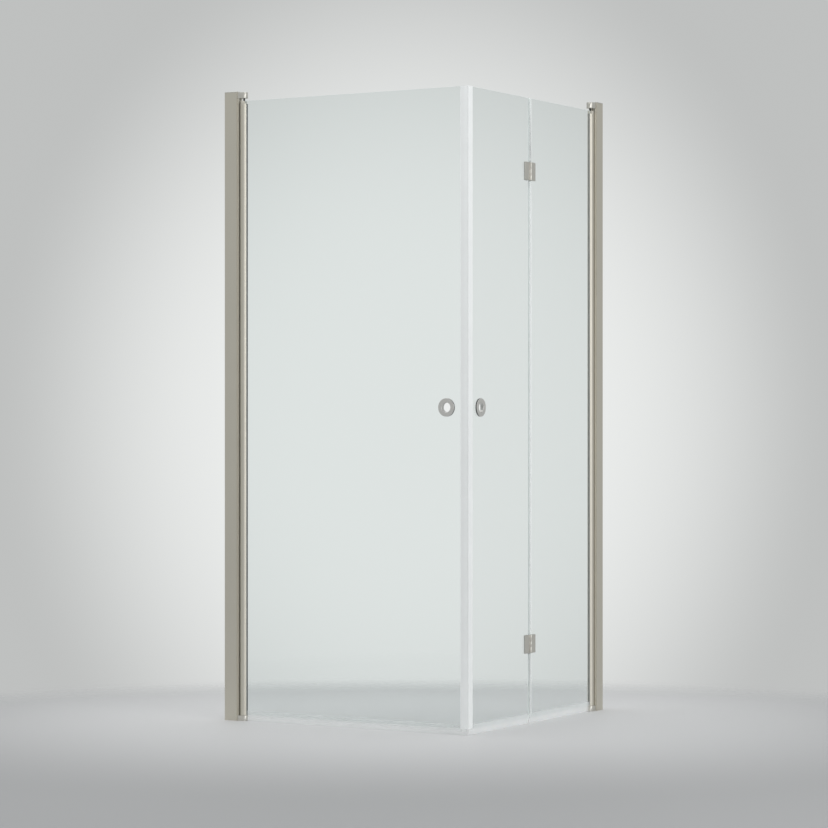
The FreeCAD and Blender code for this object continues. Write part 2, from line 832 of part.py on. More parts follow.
def rim_edges(feature, level):
    """Names of the edges that lie wholly at one level of a feature."""
    names = []
    for number, edge in enumerate(feature.Shape.Edges, start=1):
        box = edge.BoundBox
        if abs(box.ZMin - level) < 1e-6 and abs(box.ZMax - level) < 1e-6:
            names.append("Edge%d" % number)
    return names


def glazing_strip(label):
    """U-shaped gasket between the glass and the column's slot, with a lip on each side."""
    body = new_body(label, axis_along, glass_mid)
    sketch = new_sketch(body, "strip_section", offset=glass_bottom)
    lip_half = slot_half + size.strip_lip
    lip_back = slot_mouth + size.magnet_fit
    lip_front = lip_back + size.strip_lip_reach
    inner = glass_mid
    strip_inner = size.slot_floor + size.strip_floor
    loop(sketch, [
        (-lip_front, -inner),
        (-lip_front, -lip_half),
        (-lip_back, -lip_half),
        (-lip_back, -slot_half),
        (-size.slot_floor, -slot_half),
        (-size.slot_floor, slot_half),
        (-lip_back, slot_half),
        (-lip_back, lip_half),
        (-lip_front, lip_half),
        (-lip_front, inner),
        (-strip_inner, inner),
        (-strip_inner, -inner),
    ])
    pad(body, "strip_length", sketch, column_top - glass_bottom)
    return body


# Glass
def pane(label, start, end):
    """A pane between two places along the side, its edges ground."""
    body = new_body(label)
    sketch = new_sketch(body, "pane_plan", offset=glass_bottom)
    box_loop(sketch, (start, 0), (end, size.glass_thick))
    slab = pad(body, "slab", sketch, glass_height)
    doc.recompute()
    arris = body.newObject("PartDesign::Chamfer", "ground_edges")
    arris.Base = (slab, ["Edge%d" % number for number in range(1, len(slab.Shape.Edges) + 1)])
    bind(arris, "Size", size.glass_arris)
    body.Tip = arris
    return body


def ring_hole(body):
    """Hole for the ring handle's sleeve."""
    drilled(body, "ring_hole", "XZ_Plane", glass_mid,
            [(size.ring_from_edge, size.ring_centre_height, size.ring_glass_bore)],
            size.glass_thick + size.overrun * 2)


def hinge_holes(body, side):
    """Two holes for each glass hinge, on the side of the fold that side tells."""
    along = size.fold_line + size.hinge_screw_across * side
    spacing = size.hinge_screw_spacing / 2
    holes = []
    for middle in (hinge_low, hinge_high):
        holes.append((along, middle - spacing, size.glass_screw_bore))
        holes.append((along, middle + spacing, size.glass_screw_bore))
    screw_holes(body, "hinge_hole", "XZ_Plane", glass_mid, holes, size.glass_thick + size.overrun * 2)


# Seals
def on_mitre(along_mitre, depth):
    """A place given along the mitre from its outer corner, and by its depth behind the mitre face."""
    diagonal = root(as_size(2))
    nose = -size.magnet_nose
    return (nose + (along_mitre + depth) / diagonal, nose - size.mitre_gap + (along_mitre - depth) / diagonal)


def magnet_seal(label):
    """Clip-on seal of the corner: a mitred hollow head with a pocket for the magnet."""
    body = new_body(label)
    outer = -size.magnet_nose - size.mitre_gap
    inner = size.glass_thick - outer
    leg_end = size.magnet_glass_inset + size.magnet_clip_reach
    sketch = new_sketch(body, "seal_section", offset=glass_bottom)
    loop(sketch, [
        (-size.magnet_nose, outer),
        (leg_end, outer),
        (leg_end, 0),
        (size.magnet_glass_inset, 0),
        (size.magnet_glass_inset, size.glass_thick),
        (leg_end, size.glass_thick),
        (leg_end, inner),
        (inner + size.mitre_gap, inner),
    ])
    near, far = size.magnet_from_corner, size.magnet_from_corner + size.magnet_width
    shallow, deep = size.magnet_skin, size.magnet_skin + size.magnet_thick
    loop(sketch, [on_mitre(near, shallow), on_mitre(near, deep), on_mitre(far, deep), on_mitre(far, shallow)])
    web = (deep + size.seal_skin) * root(as_size(2)) + size.mitre_gap
    low, high = outer + size.seal_skin, inner - size.seal_skin
    back = size.magnet_glass_inset - size.seal_skin
    loop(sketch, [(low + web, low), (back, low), (back, high), (high + web, high)])
    pad(body, "seal_length", sketch, glass_height)
    return body


def magnet_strip(label):
    """Flexible magnet in the seal's pocket."""
    body = new_body(label)
    fit = size.magnet_fit
    near = size.magnet_from_corner + fit
    far = size.magnet_from_corner + size.magnet_width - fit
    shallow = size.magnet_skin + fit
    deep = size.magnet_skin + size.magnet_thick - fit
    sketch = new_sketch(body, "strip_section", offset=glass_bottom)
    loop(sketch, [on_mitre(near, shallow), on_mitre(near, deep), on_mitre(far, deep), on_mitre(far, shallow)])
    pad(body, "strip_length", sketch, glass_height)
    return body


def sweep_seal(label, start, end, to_corner):
    """Clip-on seal under the glass: a fin to the floor and a lip that turns drips inwards."""
    body = new_body(label, along=start)
    wall = size.sweep_wall
    base = glass_bottom - wall
    clip_top = glass_bottom + size.sweep_clip_height
    fin_half = wall / 2
    tip_half = size.sweep_fin_tip / 2
    lip_foot = base - size.sweep_lip_drop
    lip_end = size.glass_thick + wall + size.sweep_lip_reach
    sketch = new_sketch(body, "seal_section", "YZ_Plane")
    loop(sketch, [
        (-wall, base),
        (glass_mid - fin_half, base),
        (glass_mid - tip_half, size.sweep_floor_gap),
        (glass_mid + tip_half, size.sweep_floor_gap),
        (glass_mid + fin_half, base),
        (size.glass_thick, base),
        (lip_end - tip_half, lip_foot),
        (lip_end + tip_half, lip_foot),
        (size.glass_thick + wall, base),
        (size.glass_thick + wall, clip_top),
        (size.glass_thick, clip_top),
        (size.glass_thick, glass_bottom),
        (0, glass_bottom),
        (0, clip_top),
        (-wall, clip_top),
    ])
    pad(body, "seal_length", sketch, end - start)
    if to_corner:
        reach = start - size.sweep_fin_corner_inset
        fin = new_sketch(body, "corner_fin_section", "YZ_Plane", -reach)
        loop(fin, [
            (glass_mid - fin_half, glass_bottom - size.magnet_fit),
            (glass_mid - fin_half, base),
            (glass_mid - tip_half, size.sweep_floor_gap),
            (glass_mid + tip_half, size.sweep_floor_gap),
            (glass_mid + fin_half, base),
            (glass_mid + fin_half, glass_bottom - size.magnet_fit),
        ])
        pad(body, "corner_fin", fin, reach + size.overrun)
    return body


def fold_seal(label):
    """Seal in the fold: it clips on the wall leaf's edge, and its fin meets the free leaf."""
    body = new_body(label, along=size.fold_line)
    wall = size.sweep_wall
    edge = size.fold_gap / 2
    base = edge - wall
    leg_end = edge + size.fold_clip_reach
    fin_front = -edge + size.fold_fin_gap
    bottom = glass_bottom + size.sweep_clip_height
    sketch = new_sketch(body, "seal_section", offset=bottom)
    loop(sketch, [
        (base, -wall),
        (leg_end, -wall),
        (leg_end, 0),
        (edge, 0),
        (edge, size.glass_thick),
        (leg_end, size.glass_thick),
        (leg_end, size.glass_thick + wall),
        (base, size.glass_thick + wall),
        (base, size.glass_thick - size.fold_fin_inset),
        (fin_front, glass_mid + tip_of_fin()),
        (fin_front, glass_mid - tip_of_fin()),
        (base, size.fold_fin_inset),
    ])
    pad(body, "seal_length", sketch, glass_top - bottom)
    notches = new_sketch(body, "hinge_notches", "YZ_Plane", edge)
    room = size.hinge_height / 2 + size.overrun
    outer = -wall - size.overrun
    for middle in (hinge_low, hinge_high):
        box_loop(notches, (outer, middle - room), (0, middle + room))
        box_loop(notches, (size.glass_thick, middle - room), (size.glass_thick - outer, middle + room))
    cut(body, "hinge_notches_cut", notches, (size.fold_clip_reach + size.overrun) * 2)
    return body


def tip_of_fin():
    return size.sweep_fin_tip / 2


# Glass hinges: a half is drawn about the hinge pin, and side is 1 for the wall leaf, -1 for the free
def sided(corners, side):
    """An outline on one side of the pin, or its mirror image with the arcs turned round."""
    if side == 1:
        return corners
    return [(-as_size(c[0]),) + c[1:2] + tuple(-r for r in c[2:]) for c in corners]


def hinge_half(label, middle, side):
    """Domed plate with its knuckles: the wall half holds the outer two, the free half the middle."""
    body = new_body(label, size.fold_line, -size.hinge_pin_drop, middle)
    height = size.hinge_height
    back = size.hinge_pin_drop - size.hinge_pad
    plate = new_sketch(body, "plate_section")
    loop(plate, sided([
        (knuckle_room, back),
        (knuckle_room, back - size.hinge_plate_thick, size.hinge_dome_round),
        (size.hinge_reach, back - size.hinge_plate_edge),
        (size.hinge_reach, back),
    ], side))
    pad(body, "plate", plate, height, both_ways=True)
    knuckle = new_sketch(body, "knuckle_section")
    shoulder = half_chord(knuckle_half, back - size.hinge_plate_thick)
    loop(knuckle, sided([
        (shoulder, back - size.hinge_plate_thick),
        (knuckle_room, back - size.hinge_plate_thick),
        (knuckle_room, knuckle_half),
        (0, knuckle_half, knuckle_half),
        (-knuckle_half, 0, knuckle_half),
        (0, -knuckle_half, knuckle_half),
    ], side))
    pad(body, "knuckles", knuckle, height, both_ways=True)
    span = size.middle_knuckle / 2
    gaps = new_sketch(body, "knuckle_gaps", "XZ_Plane")
    past_pin = -(knuckle_half + size.overrun) * side
    to_plate = knuckle_room * side
    if side == 1:
        box_loop(gaps, (past_pin, -span), (to_plate, span))
    else:
        reach = height / 2 + size.overrun
        start = span - size.knuckle_gap
        box_loop(gaps, (past_pin, start), (to_plate, reach))
        box_loop(gaps, (past_pin, -reach), (to_plate, -start))
    cut(body, "knuckle_gap_cut", gaps, (knuckle_half + size.overrun) * 2)
    drilled(body, "pin_bore", "XY_Plane", 0, [(0, 0, size.hinge_pin_width + size.running_gap * 2)],
            height + size.overrun * 2)
    spacing = size.hinge_screw_spacing / 2
    along = size.hinge_screw_across * side
    bore = size.hinge_screw_width + size.screw_gap * 2
    screw_holes(body, "screw_bore", "XZ_Plane", back, [(along, up, bore) for up in (-spacing, spacing)],
                size.hinge_screw_bite * 2)
    return body


def hinge_pin(label, middle):
    """Pin of a glass hinge, its ends just under the knuckles' faces."""
    body = new_body(label, size.fold_line, -size.hinge_pin_drop, middle)
    sketch = new_sketch(body, "pin_section")
    ring_loop(sketch, 0, 0, size.hinge_pin_width)
    pad(body, "pin", sketch, size.hinge_height - size.knuckle_gap * 2, both_ways=True)
    return body


def clamp_face(sketch, side, far):
    """Face of a clamp or pad from the fold to its far edge, whose two corners are cut off."""
    near = knuckle_room
    half = size.hinge_height / 2
    turn = size.clamp_bevel
    loop(sketch, sided([
        (near, -half),
        (far - turn, -half),
        (far, -half + turn),
        (far, half - turn),
        (far - turn, half),
        (near, half),
    ], side))


def hinge_clamp(label, middle, side):
    """Short inner clamp plate, with recesses for the two screw heads."""
    body = new_body(label, size.fold_line, size.glass_thick + size.hinge_pad, middle)
    face = new_sketch(body, "clamp_outline", "XZ_Plane", -(size.clamp_thick / 2))
    clamp_face(face, side, size.clamp_reach)
    pad(body, "plate", face, size.clamp_thick, both_ways=True)
    spacing = size.hinge_screw_spacing / 2
    along = size.hinge_screw_across * side
    for name, width, place, length in (
            ("screw_hole", size.hinge_screw_width + size.screw_gap * 2, size.clamp_thick / 2,
             size.clamp_thick + size.overrun * 2),
            ("head_recess", size.hinge_screw_head_width + size.screw_gap * 2, size.clamp_thick,
             (size.hinge_screw_head_thick + size.screw_gap) * 2)):
        places = [(along, up, width) for up in (-spacing, spacing)]
        screw_holes(body, name, "XZ_Plane", place, places, length)
    return body


def hinge_pads(label, side):
    """Thin pads between the glass and the hinge, outside and inside, at both hinges."""
    body = new_body(label, size.fold_line, 0, hinge_low)
    pads = []
    bore = size.hinge_screw_width + size.screw_gap * 2
    spacing = size.hinge_screw_spacing / 2
    along = size.hinge_screw_across * side
    for name, middle, far in (("outer", -size.hinge_pad / 2, size.hinge_reach),
                              ("inner", size.glass_thick + size.hinge_pad / 2, size.clamp_reach)):
        face = new_sketch(body, name + "_outline", "XZ_Plane", -middle)
        clamp_face(face, side, far)
        polygon_loop(face, along, -spacing, bore, HOLE_SIDES)
        polygon_loop(face, along, spacing, bore, HOLE_SIDES)
        pads.append(pad(body, name + "_pad", face, size.hinge_pad, both_ways=True))
    row_of(body, "both_hinges", pads, "Z_Axis", hinge_high - hinge_low, 2)
    return body


def hinge_screws(label, side):
    """Two socket-headed screws in each hinge, driven from inside the shower."""
    along = size.fold_line + size.hinge_screw_across * side
    head_back = size.glass_thick + size.hinge_pad + size.clamp_thick
    head_front = head_back - size.hinge_screw_head_thick
    tip = -size.hinge_pad - size.hinge_screw_bite + size.screw_gap
    body = new_body(label, along, 0, hinge_low - size.hinge_screw_spacing / 2)
    pieces = screw(body, "XZ_Plane", tip, head_front, head_back, size.hinge_screw_width,
                   size.hinge_screw_head_width)
    repeat = body.newObject("PartDesign::MultiTransform", "all_screws")
    repeat.Originals = pieces
    steps = []
    for name, length in (("pair", size.hinge_screw_spacing), ("hinges", hinge_high - hinge_low)):
        step = body.newObject("PartDesign::LinearPattern", name)
        step.Direction = (origin_plane(body, "Z_Axis"), [""])
        bind(step, "Length", length)
        step.Occurrences = 2
        steps.append(step)
    repeat.Transformations = steps
    body.Tip = repeat
    return body


# Ring handles
def ring_part(label, across, outline):
    """A turned part of a handle, about the middle of the hole in the glass."""
    body = new_body(label, size.ring_from_edge, across, size.ring_centre_height)
    section = new_sketch(body, "ring_section")
    loop(section, outline)
    revolve(body, "ring", section)
    return body


def ring_sleeve(label):
    """Sleeve through the glass that joins the outer ring to the inner rim."""
    body = new_body(label, size.ring_from_edge, size.glass_thick, size.ring_centre_height)
    low, high = -size.glass_thick - size.ring_seat, size.inner_rim_thick
    section = new_sketch(body, "sleeve_section", "XZ_Plane", -(low + high) / 2)
    outer = (size.ring_bore + size.sleeve_wall * 2) * math.cos(math.pi / SLEEVE_SIDES)
    polygon_loop(section, 0, 0, outer, SLEEVE_SIDES)
    polygon_loop(section, 0, 0, size.ring_bore, SLEEVE_SIDES)
    pad(body, "sleeve", section, high - low, both_ways=True)
    return body


def ring_handle(label):
    """Outer ring with a bevelled mouth, low inner rim, and the sleeve that holds the two together."""
    seat = size.ring_bore / 2 + size.sleeve_wall + size.screw_gap
    mouth = size.ring_bore / 2 + size.ring_bevel_across
    outer = ring_part(label + "_outer", 0, [
        (seat, 0),
        (size.ring_width / 2, 0),
        (size.ring_width / 2, -size.ring_thick),
        (mouth, -size.ring_thick),
        (seat, size.ring_bevel_deep - size.ring_thick),
    ])
    inner = ring_part(label + "_inner", size.glass_thick, [
        (seat, 0),
        (size.inner_rim_width / 2, 0),
        (size.inner_rim_width / 2, size.inner_rim_thick),
        (seat, size.inner_rim_thick),
    ])
    return group(label, [outer, inner, ring_sleeve(label + "_sleeve")])


# Screws of the fixed parts
def lock_screw_row(label):
    """Screws that lock the adjusting profile in the channel, their heads inside the shower."""
    along = channel_front + size.lock_screw_inset
    body = new_body(label, along, glass_mid + channel_half, size.lock_screw_first)
    pieces = screw(body, "XZ_Plane", -size.lock_screw_length, 0, size.lock_screw_head_thick,
                   size.lock_screw_width, size.lock_screw_head_width)
    row_of(body, "screw_row", pieces, "Z_Axis", lock_screw_span, 3)
    return body


def bracket_screw_pair(label, under_head, down):
    """Two screws through a bracket into the screw ports; down is 1 when they point down."""
    body = new_body(label, port_along, glass_mid - port_across, under_head)
    length = size.top_bracket_height - size.bracket_screw_recess + size.bracket_screw_bite
    pieces = screw(body, "XY_Plane", -length * down, 0, size.bracket_screw_head_thick * down,
                   size.bracket_screw_width, size.bracket_screw_head_width)
    row_of(body, "screw_pair", pieces, "Y_Axis", port_across * 2, 2)
    return body


# Build the right side and keep each node under its name
nodes = {}
shared = [
    ("wall_channel", wall_channel), ("adjusting_profile", adjusting_profile),
    ("channel_cap", channel_cap), ("column_seal", column_seal), ("top_pin", top_pin),
    ("column", column), ("column_plugs", column_plugs), ("glazing_strip", glazing_strip),
    ("magnet_seal", magnet_seal), ("magnet_strip", magnet_strip), ("ring_handle", ring_handle),
]
for name, make in shared:
    nodes["right_" + name] = make("right_" + name)
for label in list(nodes):
    left_label = label.replace("right_", "left_")
    nodes[left_label] = mirrored(nodes[label], left_label)

# The left door's single leaf, drawn on the right and mirrored
left_pane = pane("left_pane_drawing", size.magnet_glass_inset, glass_edge)
ring_hole(left_pane)
nodes["left_glass"] = mirrored(left_pane, "left_glass")
sweep_start = size.magnet_glass_inset + size.magnet_clip_reach + size.overrun
sweep_end = axis_along - bracket_half - size.sweep_end_gap
left_sweep = sweep_seal("left_sweep_drawing", sweep_start, sweep_end, to_corner=True)
nodes["left_sweep_seal"] = mirrored(left_sweep, "left_sweep_seal")

# The right door's two leaves
nodes["free_leaf_glass"] = pane("free_leaf_glass", size.magnet_glass_inset, free_edge)
ring_hole(nodes["free_leaf_glass"])
hinge_holes(nodes["free_leaf_glass"], -1)
nodes["wall_leaf_glass"] = pane("wall_leaf_glass", wall_edge, glass_edge)
hinge_holes(nodes["wall_leaf_glass"], 1)
nodes["free_leaf_sweep_seal"] = sweep_seal("free_leaf_sweep_seal", sweep_start, free_edge, to_corner=True)
nodes["wall_leaf_sweep_seal"] = sweep_seal("wall_leaf_sweep_seal", wall_edge, sweep_end, to_corner=False)
nodes["fold_seal"] = fold_seal("fold_seal")

# Glass hinges
for place, middle in (("upper", hinge_high), ("lower", hinge_low)):
    for leaf, side in (("wall", 1), ("free", -1)):
        half_label = "%s_hinge_%s_half" % (place, leaf)
        nodes[half_label] = hinge_half(half_label, middle, side)
        clamp_label = "%s_hinge_%s_clamp" % (place, leaf)
        nodes[clamp_label] = hinge_clamp(clamp_label, middle, side)
    pin_label = "%s_hinge_pin" % place
    nodes[pin_label] = hinge_pin(pin_label, middle)
for leaf, side in (("wall", 1), ("free", -1)):
    pads_label = "%s_leaf_hinge_pads" % leaf
    nodes[pads_label] = hinge_pads(pads_label, side)
    screws_label = "%s_leaf_hinge_screws" % leaf
    nodes[screws_label] = hinge_screws(screws_label, side)

# Brackets, posts, cams and screws of the fixed parts, both sides in one node each
for name, make in (("top_bracket", top_bracket), ("bottom_bracket", bottom_bracket),
                   ("pivot_post", pivot_post), ("lower_cam", lower_cam)):
    right_piece = make("right_" + name)
    nodes[name + "s"] = group(name + "s", [right_piece, mirrored(right_piece, "left_" + name)])
right_locks = lock_screw_row("right_lock_screws")
nodes["lock_screws"] = group("lock_screws", [right_locks, mirrored(right_locks, "left_lock_screws")])
top_seat = channel_top - size.bracket_screw_recess
bottom_seat = size.bracket_screw_recess
right_top = bracket_screw_pair("right_top_screws", top_seat, 1)
right_bottom = bracket_screw_pair("right_bottom_screws", bottom_seat, -1)
bracket_sets = [right_top, right_bottom]
bracket_sets += [mirrored(right_top, "left_top_screws"), mirrored(right_bottom, "left_bottom_screws")]
nodes["bracket_screws"] = group("bracket_screws", bracket_sets)

doc.recompute()

# Check every object, then write each node's solids
faults = []
for thing in doc.Objects:
    if "Invalid" in thing.State or "Error" in thing.State:
        faults.append("%s: %s" % (thing.Label, ", ".join(thing.State)))
for label, piece in nodes.items():
    if piece.Shape.isNull() or not piece.Shape.isValid() or not piece.Shape.Solids:
        faults.append("%s: its shape is empty or not valid" % label)
if faults:
    raise RuntimeError("; ".join(faults))

os.makedirs("parts", exist_ok=True)
for label, piece in nodes.items():
    piece.Shape.exportStep("parts/%s.step" % label)
    box = piece.Shape.BoundBox
    print("%-26s %2d solids %12.1f mm3   x %.2f %.2f  y %.2f %.2f  z %.2f %.2f" % (
        label, len(piece.Shape.Solids), piece.Shape.Volume,
        box.XMin, box.XMax, box.YMin, box.YMax, box.ZMin, box.ZMax))
print("nodes:", len(nodes))
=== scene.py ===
# %% [markdown]
# This notebook dresses a corner shower screen for a studio picture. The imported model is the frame: it
# holds every piece at its true size, in metres, with Z up. The two doors of clear glass stand on the
# left (facing -Y) and on the right (facing +X), and meet at the corner towards the camera. Here the
# pieces only get their finish, and the few that a machinist would round and polish are made again.

# %% Load the frame
import json
import math

import bmesh
import bpy
from mathutils import Matrix, Vector


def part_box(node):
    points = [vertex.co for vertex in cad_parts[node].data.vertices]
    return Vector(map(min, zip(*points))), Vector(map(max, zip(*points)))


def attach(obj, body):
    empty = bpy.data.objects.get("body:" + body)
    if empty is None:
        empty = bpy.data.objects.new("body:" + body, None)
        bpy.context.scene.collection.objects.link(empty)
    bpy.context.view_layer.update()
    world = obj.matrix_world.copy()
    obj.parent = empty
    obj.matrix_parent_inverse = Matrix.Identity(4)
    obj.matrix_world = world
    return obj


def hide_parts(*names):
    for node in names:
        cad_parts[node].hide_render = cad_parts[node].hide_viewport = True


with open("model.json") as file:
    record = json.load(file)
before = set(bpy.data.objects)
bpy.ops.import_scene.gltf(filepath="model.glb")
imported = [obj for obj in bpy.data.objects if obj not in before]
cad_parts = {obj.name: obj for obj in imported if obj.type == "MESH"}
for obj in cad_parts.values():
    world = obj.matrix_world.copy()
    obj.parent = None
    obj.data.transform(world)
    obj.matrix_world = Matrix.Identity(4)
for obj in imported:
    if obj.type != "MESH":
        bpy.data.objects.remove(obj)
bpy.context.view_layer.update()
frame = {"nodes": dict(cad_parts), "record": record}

nodes = frame["nodes"]
record = frame["record"]
MM = 0.001

# %% [markdown]
# The photograph was taken with a long lens from just under half the screen's height, level, so that
# all upright lines stay parallel. The camera's place was solved from the edges of the profiles and the
# panes. It looks at the door corner from 30.6 degrees to the right of the left door's normal.

# %% Camera at the photograph's angle
CAMERA_AZIMUTH = math.radians(30.6)
CAMERA_PLACE = Vector((4.598, -7.794, 0.975))
LENS = 121.3
SENSOR = 36.0

camera_data = bpy.data.cameras.new("photo_camera")
camera_data.lens = LENS
camera_data.sensor_width = SENSOR
camera = bpy.data.objects.new("photo_camera", camera_data)
camera.location = CAMERA_PLACE
camera.rotation_euler = (math.radians(90), 0, CAMERA_AZIMUTH)
bpy.context.scene.collection.objects.link(camera)
bpy.context.scene.camera = camera
bpy.context.scene.view_settings.view_transform = "Standard"
looking = Vector((-math.sin(CAMERA_AZIMUTH), math.cos(CAMERA_AZIMUTH), 0))
print("camera looks along", [round(v, 3) for v in looking])

# %% [markdown]
# Satin metal and clear glass have hardly any colour of their own: they show what stands round them.
# So the studio is part of their look. The world lights the screen as an evenly pale room. For the eye,
# in reflections and through the glass it is a plain backdrop with a soft pool of light on it, behind the
# middle of the screen. The pool is set from directions that stay where they are when the camera moves.

# %% Helper for nodes


def node_of(tree, kind, place=(0, 0), **settings):
    """A new node with its settings."""
    made = tree.nodes.new(kind)
    made.location = place
    for name, value in settings.items():
        setattr(made, name, value)
    return made


def dotted(tree, socket, axis, place):
    """How far a direction points along an axis."""
    made = node_of(tree, "ShaderNodeVectorMath", place, operation="DOT_PRODUCT")
    made.inputs[1].default_value = axis
    tree.links.new(socket, made.inputs[0])
    return made.outputs["Value"]


def shade_between(tree, value, low, high, colours, place):
    """A colour that passes smoothly from one to the other while a value goes from low to high."""
    ramp = node_of(tree, "ShaderNodeMapRange", place, interpolation_type="SMOOTHSTEP")
    ramp.inputs["From Min"].default_value = low
    ramp.inputs["From Max"].default_value = high
    shade = node_of(tree, "ShaderNodeMix", (place[0] + 200, place[1]), data_type="RGBA")
    shade.inputs["A"].default_value = colours[0]
    shade.inputs["B"].default_value = colours[1]
    tree.links.new(value, ramp.inputs["Value"])
    tree.links.new(ramp.outputs["Result"], shade.inputs["Factor"])
    return shade.outputs["Result"]


# %% Pale room and backdrop
ROOM_LIGHT = (0.80, 0.81, 0.81, 1.0)
POOL_MIDDLE = (0.845, 0.86, 0.85, 1.0)
POOL_RIM = (0.52, 0.53, 0.525, 1.0)
POOL_START = 0.0005
POOL_END = 0.023
POOL_UPRIGHT = 0.85

world = bpy.data.worlds.new("pale_room")
world.use_nodes = True
bpy.context.scene.world = world
tree = world.node_tree
tree.nodes.clear()
direction = node_of(tree, "ShaderNodeTexCoord", (-1100, 0)).outputs["Generated"]
to_right = Vector((looking.y, -looking.x, 0))
spread = node_of(tree, "ShaderNodeCombineXYZ", (-700, -100))
tree.links.new(dotted(tree, direction, to_right, (-900, -50)), spread.inputs["X"])
tree.links.new(dotted(tree, direction, Vector((0, 0, POOL_UPRIGHT)), (-900, -200)), spread.inputs["Y"])
squared = node_of(tree, "ShaderNodeVectorMath", (-500, -100), operation="DOT_PRODUCT")
tree.links.new(spread.outputs["Vector"], squared.inputs[0])
tree.links.new(spread.outputs["Vector"], squared.inputs[1])
backdrop = shade_between(tree, squared.outputs["Value"], POOL_START, POOL_END,
                         (POOL_MIDDLE, POOL_RIM), (-300, -100))
path = node_of(tree, "ShaderNodeLightPath", (-300, 400))
seen = node_of(tree, "ShaderNodeMath", (-100, 400), operation="MAXIMUM")
shown = node_of(tree, "ShaderNodeMath", (50, 400), operation="MAXIMUM")
choice = node_of(tree, "ShaderNodeMix", (150, 100), data_type="RGBA")
light = node_of(tree, "ShaderNodeBackground", (350, 100))
sky = node_of(tree, "ShaderNodeOutputWorld", (550, 100))
tree.links.new(path.outputs["Is Camera Ray"], seen.inputs[0])
tree.links.new(path.outputs["Is Transmission Ray"], seen.inputs[1])
tree.links.new(seen.outputs["Value"], shown.inputs[0])
tree.links.new(path.outputs["Is Glossy Ray"], shown.inputs[1])
tree.links.new(shown.outputs["Value"], choice.inputs["Factor"])
choice.inputs["A"].default_value = ROOM_LIGHT
tree.links.new(backdrop, choice.inputs["B"])
tree.links.new(choice.outputs["Result"], light.inputs["Color"])
tree.links.new(light.outputs["Background"], sky.inputs["Surface"])
print("backdrop pool:", POOL_MIDDLE[:3], "to", POOL_RIM[:3])

# %% [markdown]
# One tall soft box on the right draws the long highlight on the round columns. It is wide, so that the
# highlight is soft. A second one above opens the shadows.

# %% Soft boxes


def soft_box(name, place, target, width, height, watts):
    """A rectangular area lamp aimed at a point."""
    data = bpy.data.lights.new(name, "AREA")
    data.shape = "RECTANGLE"
    data.size = width
    data.size_y = height
    data.energy = watts
    lamp = bpy.data.objects.new(name, data)
    lamp.location = place
    lamp.rotation_euler = (Vector(target) - Vector(place)).to_track_quat("-Z", "Y").to_euler()
    bpy.context.scene.collection.objects.link(lamp)
    lamp.visible_camera = False
    lamp.visible_transmission = False


BOX_AZIMUTH = math.radians(62)
BOX_DISTANCE = 5.5
BOX_HEIGHT = 2.0
SIDE_AIM = (0, 0, 1.0)
SIDE_SIZE = (3.6, 4.4)
SIDE_WATTS = 90
TOP_PLACE = (-0.4, -0.6, 5.0)
TOP_AIM = (0, 0, 0.8)
TOP_SIZE = (4.0, 4.0)
TOP_WATTS = 60

side_place = (math.sin(BOX_AZIMUTH) * BOX_DISTANCE, -math.cos(BOX_AZIMUTH) * BOX_DISTANCE, BOX_HEIGHT)
soft_box("side_soft_box", side_place, SIDE_AIM, *SIDE_SIZE, SIDE_WATTS)
soft_box("top_soft_box", TOP_PLACE, TOP_AIM, *TOP_SIZE, TOP_WATTS)

# %% [markdown]
# The floor is a plain pale disc that reaches from under the screen towards the camera. Its rim fades
# out into the backdrop, so that no edge cuts through the panes. It is matte, and keeps its shadow. Its
# colour carries a painted pool of light: lightest round the screen, darker further out.

# %% Floor
FLOOR_AHEAD = 1.4
FLOOR_RADIUS = 2.7
FADE_START = 2.1
# Painted light: the floor's colours inside and outside its painted pool of light.
PAINTED_POOL_LIGHT = (0.68, 0.684, 0.69, 1.0)
PAINTED_POOL_DIM = (0.35, 0.354, 0.36, 1.0)
FLOOR_SIDES = 96
FLOOR_ROUGHNESS = 0.6
PAINTED_POOL_CORE = 0.2
PAINTED_POOL_EDGE = 2.1

floor_middle = looking * -FLOOR_AHEAD
floor_mesh = bpy.data.meshes.new("floor")
drawing = bmesh.new()
bmesh.ops.create_circle(drawing, cap_ends=True, segments=FLOOR_SIDES, radius=FLOOR_RADIUS,
                        matrix=Matrix.Translation(floor_middle))
drawing.to_mesh(floor_mesh)
drawing.free()
floor = bpy.data.objects.new("floor", floor_mesh)
bpy.context.scene.collection.objects.link(floor)
floor_paint = bpy.data.materials.new("floor_paint")
floor_paint.use_nodes = True
tree = floor_paint.node_tree
matte = tree.nodes["Principled BSDF"]
matte.inputs["Roughness"].default_value = FLOOR_ROUGHNESS
place = node_of(tree, "ShaderNodeTexCoord", (-900, -300))
reach = node_of(tree, "ShaderNodeVectorMath", (-700, -300), operation="DISTANCE")
reach.inputs[1].default_value = floor_middle
fade = node_of(tree, "ShaderNodeMapRange", (-500, -300), interpolation_type="SMOOTHSTEP")
fade.inputs["From Min"].default_value = FADE_START
fade.inputs["From Max"].default_value = FLOOR_RADIUS
fade.inputs["To Min"].default_value = 1.0
fade.inputs["To Max"].default_value = 0.0
tree.links.new(place.outputs["Object"], reach.inputs[0])
outward = node_of(tree, "ShaderNodeVectorMath", (-700, 100), operation="LENGTH")
tree.links.new(place.outputs["Object"], outward.inputs[0])
